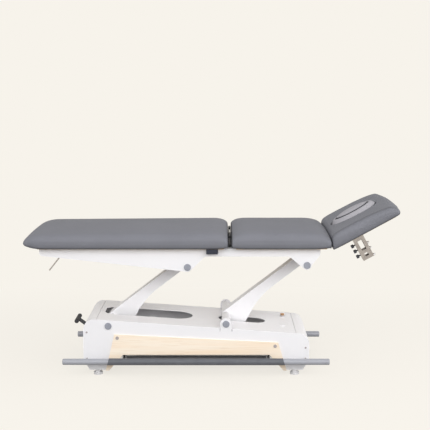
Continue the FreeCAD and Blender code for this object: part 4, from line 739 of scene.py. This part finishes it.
def head_pad_rings():
    """Rings of the head pad: a mitred inner end that leans with the tilt, a low dish and an outer lip.

    The outer end bows out with the square of the way along it, and less with the square of the way across.
    """
    given = [row[0] for row in HEAD_SHARES]
    places = np.unique(np.concatenate([np.linspace(0, given[-1], HEAD_STEPS), given]))
    along, tall, drawn, leaning = finer(HEAD_SHARES, places).T
    lip_along, lip_low, lip_high, lip_drawn = np.array(LIP_SHARES).T
    half = PAD_HALF - HEAD_CORNER * np.concatenate([drawn, lip_drawn])
    low = TUCK + HEAD_HEIGHT * np.concatenate([0 * tall, lip_low])
    high = np.concatenate([HEAD_HEIGHT * tall - HEAD_DISH, HEAD_HEIGHT * lip_high])
    flat = section_rings(half, low, high, HEAD_HEIGHT, -HEAD_DISH, HEAD_SHOULDER)
    lean = math.tan(HEAD_TILT) * np.concatenate([leaning, 0 * lip_along])
    along = np.concatenate([along, lip_along])
    bow = HEAD_BOW * np.clip((along - BOW_START_SHARE) / (1 - BOW_START_SHARE), 0, 1) ** 2
    u = (HEAD_START + HEAD_LENGTH * along)[:, None] + lean[:, None] * flat[..., 1]
    u = u + bow[:, None] * (1 - (flat[..., 0] / PAD_HALF) ** 2)
    return np.stack([u, flat[..., 0], HEAD_RISE + flat[..., 1]], axis=-1)


# Face opening: ring and plug

FACE_PLACE = 199 * MM
RING_OUTER = (131 * MM, 101 * MM)
RING_INNER = (103.5 * MM, 62.5 * MM)
PLUG_SIZE = (102 * MM, 61 * MM)
FACE_FLOOR = 21 * MM
RING_EDGE = 67 * MM
RING_RISE = 25 * MM
RING_ROLL = 4 * MM
PLUG_EDGE = 92 * MM
PLUG_RISE = 13 * MM
PLUG_ROLL = 5 * MM
# Points round each loop, and loops over the ring and over the plug
RING_TURNS = 120
RING_STEPS = 22
PLUG_TURNS = 96
PLUG_STEPS = 24
# Powers of the ring's dome and of the plug's crown, and where the rolled edges start and end
DOME_POWER = 0.8
CROWN_POWER = 2.5
RING_ROLL_SHARE = 0.8
PLUG_ROLL_SHARE = 0.1
# The plug's crown stops this close to its middle, and is closed there
CROWN_END_SHARE = 0.985
# Painted shade lines: how deep they go, how dark the ring's inner wall is, and their reach on the ring and
# the plug
FOLD_DEPTH = 12 * MM
WALL_SHADE_SHARE = 0.6
RING_SHADE_LINE_SHARE = 1 / 24
PLUG_SHADE_LINE_SHARE = 9 / 70
PLUG_SHADE_FADE_SHARE = 1 / 14
# The cover dips under the ring: its floor and climb there, and its reach as shares of the ring's outline
DIP_FLOOR = 46 * MM
DIP_CLIMB = 90 * MM
HOLE_SHARE = 1.02
DIP_START_SHARE = 0.98
DIP_RUN_SHARE = 0.14
DIP_END_SHARE = 1.12
# Painted shade in the dip round the ring: how dark it is, where it ends and over how much it fades
DIP_SHADE_SHARE = 0.5
DIP_SHADE_END_SHARE = 1.09
DIP_SHADE_FADE_SHARE = 0.05


def oval_rings(outer, inner, shares, heights, count):
    """Closed loops round the face opening: each goes from the outer to the inner oval by its share."""
    turn = np.linspace(0, 2 * math.pi, count, endpoint=False)
    shares = np.asarray(shares)[:, None]
    u = FACE_PLACE + (outer[0] + (inner[0] - outer[0]) * shares) * np.cos(turn)
    y = (outer[1] + (inner[1] - outer[1]) * shares) * np.sin(turn)
    v = np.broadcast_to(np.asarray(heights)[:, None], u.shape)
    return tilt_up(np.stack([u, y, v], axis=-1))


def face_ring():
    """Padded ring: up its outer side, over a dome that climbs inwards as a sine, and down its inner side."""
    swell = np.linspace(0, 1, RING_STEPS)
    dome = RING_EDGE + RING_RISE * np.sin(swell * math.pi / 2) ** DOME_POWER
    dome -= RING_ROLL * np.clip((swell - RING_ROLL_SHARE) / (1 - RING_ROLL_SHARE), 0, 1) ** 2
    shares = np.concatenate([[0.0, 0.0], swell, [1.0, 1.0]])
    inner_wall = [dome[-1] - FOLD_DEPTH, FACE_FLOOR]
    heights = np.concatenate([[FACE_FLOOR, RING_EDGE - FOLD_DEPTH], dome, inner_wall])
    # Painted shade: dark outer side, a line where the dome starts, and a darker inner wall
    shade_shares = np.concatenate([[1.0, 1.0], fading(swell, RING_SHADE_LINE_SHARE), [WALL_SHADE_SHARE, 0.0]])
    loops = oval_rings(RING_OUTER, RING_INNER, shares, heights, RING_TURNS)
    faces = grid_faces(len(shares), RING_TURNS, closed_rows=True)
    ring = new_piece("face_ring_cushion", loops.reshape(-1, 3), faces, "pale_cover")
    paint_shade(ring, np.repeat(shade_shares, RING_TURNS))
    upholster(ring, "head_section", "face_ring")


def face_plug():
    """Plug: upright side with a rolled edge, then a crown that rises inwards by a power of the way in."""
    share = np.linspace(0, CROWN_END_SHARE, PLUG_STEPS)
    crown = PLUG_EDGE + PLUG_RISE * (1 - (1 - share) ** CROWN_POWER)
    crown -= PLUG_ROLL * fading(share, PLUG_ROLL_SHARE) ** 2
    shares = np.concatenate([[CROWN_END_SHARE, 0.0, 0.0], share])
    heights = np.concatenate([[FACE_FLOOR, FACE_FLOOR, PLUG_EDGE - FOLD_DEPTH], crown])
    # Painted shade: a dark band round the rim of the crown, fading inwards
    shade_shares = np.concatenate([[0.0, 0.0, 0.0], np.clip((PLUG_SHADE_LINE_SHARE - share) / PLUG_SHADE_FADE_SHARE, 0, 1)])
    loops = oval_rings(PLUG_SIZE, (0, 0), shares, heights, PLUG_TURNS)
    points = loops.reshape(-1, 3)
    faces = grid_faces(len(shares), PLUG_TURNS)
    faces.append(list(range(PLUG_TURNS))[::-1])
    faces.append(list(range(len(points) - PLUG_TURNS, len(points))))
    plug = new_piece("face_plug_cushion", points, faces, "pale_cover")
    paint_shade(plug, np.repeat(shade_shares, PLUG_TURNS))
    upholster(plug, "face_plug", "face_plug")


def head_pad():
    """Head cushion, sunk round the face opening so that the ring rises out of it."""
    def held(spots):
        return 1 - fading(lay_flat(spots)[:, 2] - HEAD_RISE, HOLD_HEIGHT)

    points, faces = closed_tube(tilt_up(head_pad_rings()))
    cushion = new_piece("head_cushion", points, faces, "grey_cover")
    stuffed(cushion, HEAD_VOXEL, HEAD_SWELL, held)
    flat = lay_flat(points_of(cushion))
    off = flat[:, 0] - FACE_PLACE
    outside = np.hypot(off / RING_OUTER[0], flat[:, 1] / RING_OUTER[1])
    inside = np.hypot(off / RING_INNER[0], flat[:, 1] / RING_INNER[1])
    climb = DIP_FLOOR + DIP_CLIMB * np.clip((outside - DIP_START_SHARE) / DIP_RUN_SHARE, 0, 1)
    ceiling = np.where(inside < HOLE_SHARE, FACE_FLOOR, climb)
    flat[:, 2] = np.minimum(flat[:, 2], np.where(outside < DIP_END_SHARE, ceiling, np.inf))
    cushion.data.vertices.foreach_set("co", tilt_up(flat).ravel())
    cushion.data.update()
    # Painted shade round the ring and along the underside
    dip_shade = DIP_SHADE_SHARE * np.clip((DIP_SHADE_END_SHARE - outside) / DIP_SHADE_FADE_SHARE, 0, 1)
    edge_shade = UNDER_SHADE_SHARE * fading(flat[:, 2] - HEAD_RISE, UNDER_SHADE_REACH)
    # Painted shade: a band behind the roll along each side of the top
    from_side = (PAD_HALF - CREASE_SHADE_INSET - np.abs(flat[:, 1])) / CREASE_SHADE_WIDTH
    crease = CREASE_SHADE_SHARE * np.exp(-from_side ** 2) * (flat[:, 2] > HEAD_HEIGHT / 2)
    paint_shade(cushion, np.maximum(np.maximum(dip_shade, edge_shade), crease))
    round_off(cushion)
    upholster(cushion, "head_section", "head_pad")


head_pad()
face_ring()
face_plug()


# Studio: pale floor that keeps the shadow, pale background and soft lamps

BACKGROUND = linear(247, 243, 235)
# What the floor throws back up at the table
FLOOR_BOUNCE = linear(150, 149, 148)
# How far the floor reaches each way, in metres
FLOOR_REACH = 40.0
# Middle and half sizes, in metres, of the oval under the base where the floor shows its full shade
SHADE_PLACE = (-0.08, 0.24, 0.0)
SHADE_HALF = (0.56, 0.2, 1.0)
# How much of the shade is gone just outside the oval and how much more far off, with each span in ovals
NEAR_FADE_SHARE = 0.8
NEAR_SPAN = (0.8, 1.2)
FAR_FADE_SHARE = 0.2
FAR_SPAN = (1.3, 9.0)
SKY_COLOUR = (0.99, 0.99, 1.0, 1.0)
SKY_STRENGTH = 0.62
# Soft lamps in metres and watts: three in front at about thirty degrees, one low on the right
LAMPS = (("left_lamp", (-3.0, -3.8, 2.9), 54), ("front_lamp", (0.0, -4.8, 2.9), 90),
         ("right_lamp", (3.0, -3.8, 2.9), 70), ("side_lamp", (5.0, -0.5, 1.6), 52))
LAMP_TARGET = (0.0, 0.0, 0.4)
LAMP_WIDTH = 3.0


def seen_directly(tree):
    """1 for rays that show the background itself: from the camera, or through gloss or glass."""
    path = add(tree, "ShaderNodeLightPath").outputs
    seen = math_node(tree, "MAXIMUM", path["Is Camera Ray"], path["Is Glossy Ray"])
    return math_node(tree, "MAXIMUM", seen, path["Is Transmission Ray"])


def mix_shaders(tree, share, first, second):
    """Shader that goes from the first node's to the second node's by the share."""
    mix = add(tree, "ShaderNodeMixShader")
    for socket, value in zip(mix.inputs, (share, first.outputs[0], second.outputs[0])):
        feed(tree, socket, value)
    return mix.outputs[0]


def make_world():
    """Even pale light from all round, with the background's own colour where it is seen directly."""
    world = bpy.data.worlds.new("studio")
    scene.world = world
    world.use_nodes = True
    tree = world.node_tree
    tree.nodes.clear()
    light = fill(tree, add(tree, "ShaderNodeBackground"), Color=SKY_COLOUR, Strength=SKY_STRENGTH)
    shown = fill(tree, add(tree, "ShaderNodeBackground"), Color=BACKGROUND, Strength=1.0)
    surface = mix_shaders(tree, seen_directly(tree), light, shown)
    fill(tree, add(tree, "ShaderNodeOutputWorld"), Surface=surface)


def floor_finish():
    """Pale floor: the background's own colour, with a lit surface under and near the table for its shadow."""
    material = bpy.data.materials.new("studio_floor")
    material.use_nodes = True
    tree = material.node_tree
    tree.nodes.clear()
    seen = seen_directly(tree)
    lit = add(tree, "ShaderNodeBsdfDiffuse")
    fill(tree, lit, Color=mix_colours(tree, seen, FLOOR_BOUNCE, BACKGROUND))
    shown = fill(tree, add(tree, "ShaderNodeEmission"), Color=BACKGROUND, Strength=1.0)
    mapping = fill(tree, add(tree, "ShaderNodeMapping"), Vector=object_place(tree),
                   Location=[-place / half for place, half in zip(SHADE_PLACE, SHADE_HALF)],
                   Scale=[1 / half for half in SHADE_HALF])
    length = add(tree, "ShaderNodeVectorMath", operation="LENGTH")
    ovals = fill(tree, length, Vector=mapping.outputs["Vector"]).outputs["Value"]
    near = remap(tree, ovals, low=0.0, high=NEAR_FADE_SHARE, start=NEAR_SPAN[0], end=NEAR_SPAN[1])
    far = remap(tree, ovals, low=0.0, high=FAR_FADE_SHARE, start=FAR_SPAN[0], end=FAR_SPAN[1])
    share = math_node(tree, "MULTIPLY", seen, math_node(tree, "ADD", near, far))
    fill(tree, add(tree, "ShaderNodeOutputMaterial"), Surface=mix_shaders(tree, share, lit, shown))
    return material


def make_floor():
    mesh = bpy.data.meshes.new("studio_floor")
    corners = [(x * FLOOR_REACH, y * FLOOR_REACH, 0) for x, y in ((-1, -1), (1, -1), (1, 1), (-1, 1))]
    mesh.from_pydata(corners, [], [(0, 1, 2, 3)])
    mesh.materials.append(floor_finish())
    floor = bpy.data.objects.new("studio_floor", mesh)
    scene.collection.objects.link(floor)


def make_lamp(name, place, power):
    """Square soft lamp turned to the target."""
    data = bpy.data.lights.new(name, "AREA")
    data.shape = "SQUARE"
    data.size = LAMP_WIDTH
    data.energy = power
    lamp = bpy.data.objects.new(name, data)
    lamp.location = place
    way = np.subtract(LAMP_TARGET, place)
    tip = math.atan2(math.hypot(way[0], way[1]), -way[2])
    turn = math.atan2(way[1], way[0]) - math.pi / 2
    lamp.rotation_euler = (tip, 0, turn)
    scene.collection.objects.link(lamp)


make_world()
make_floor()
for name, place, power in LAMPS:
    make_lamp(name, place, power)
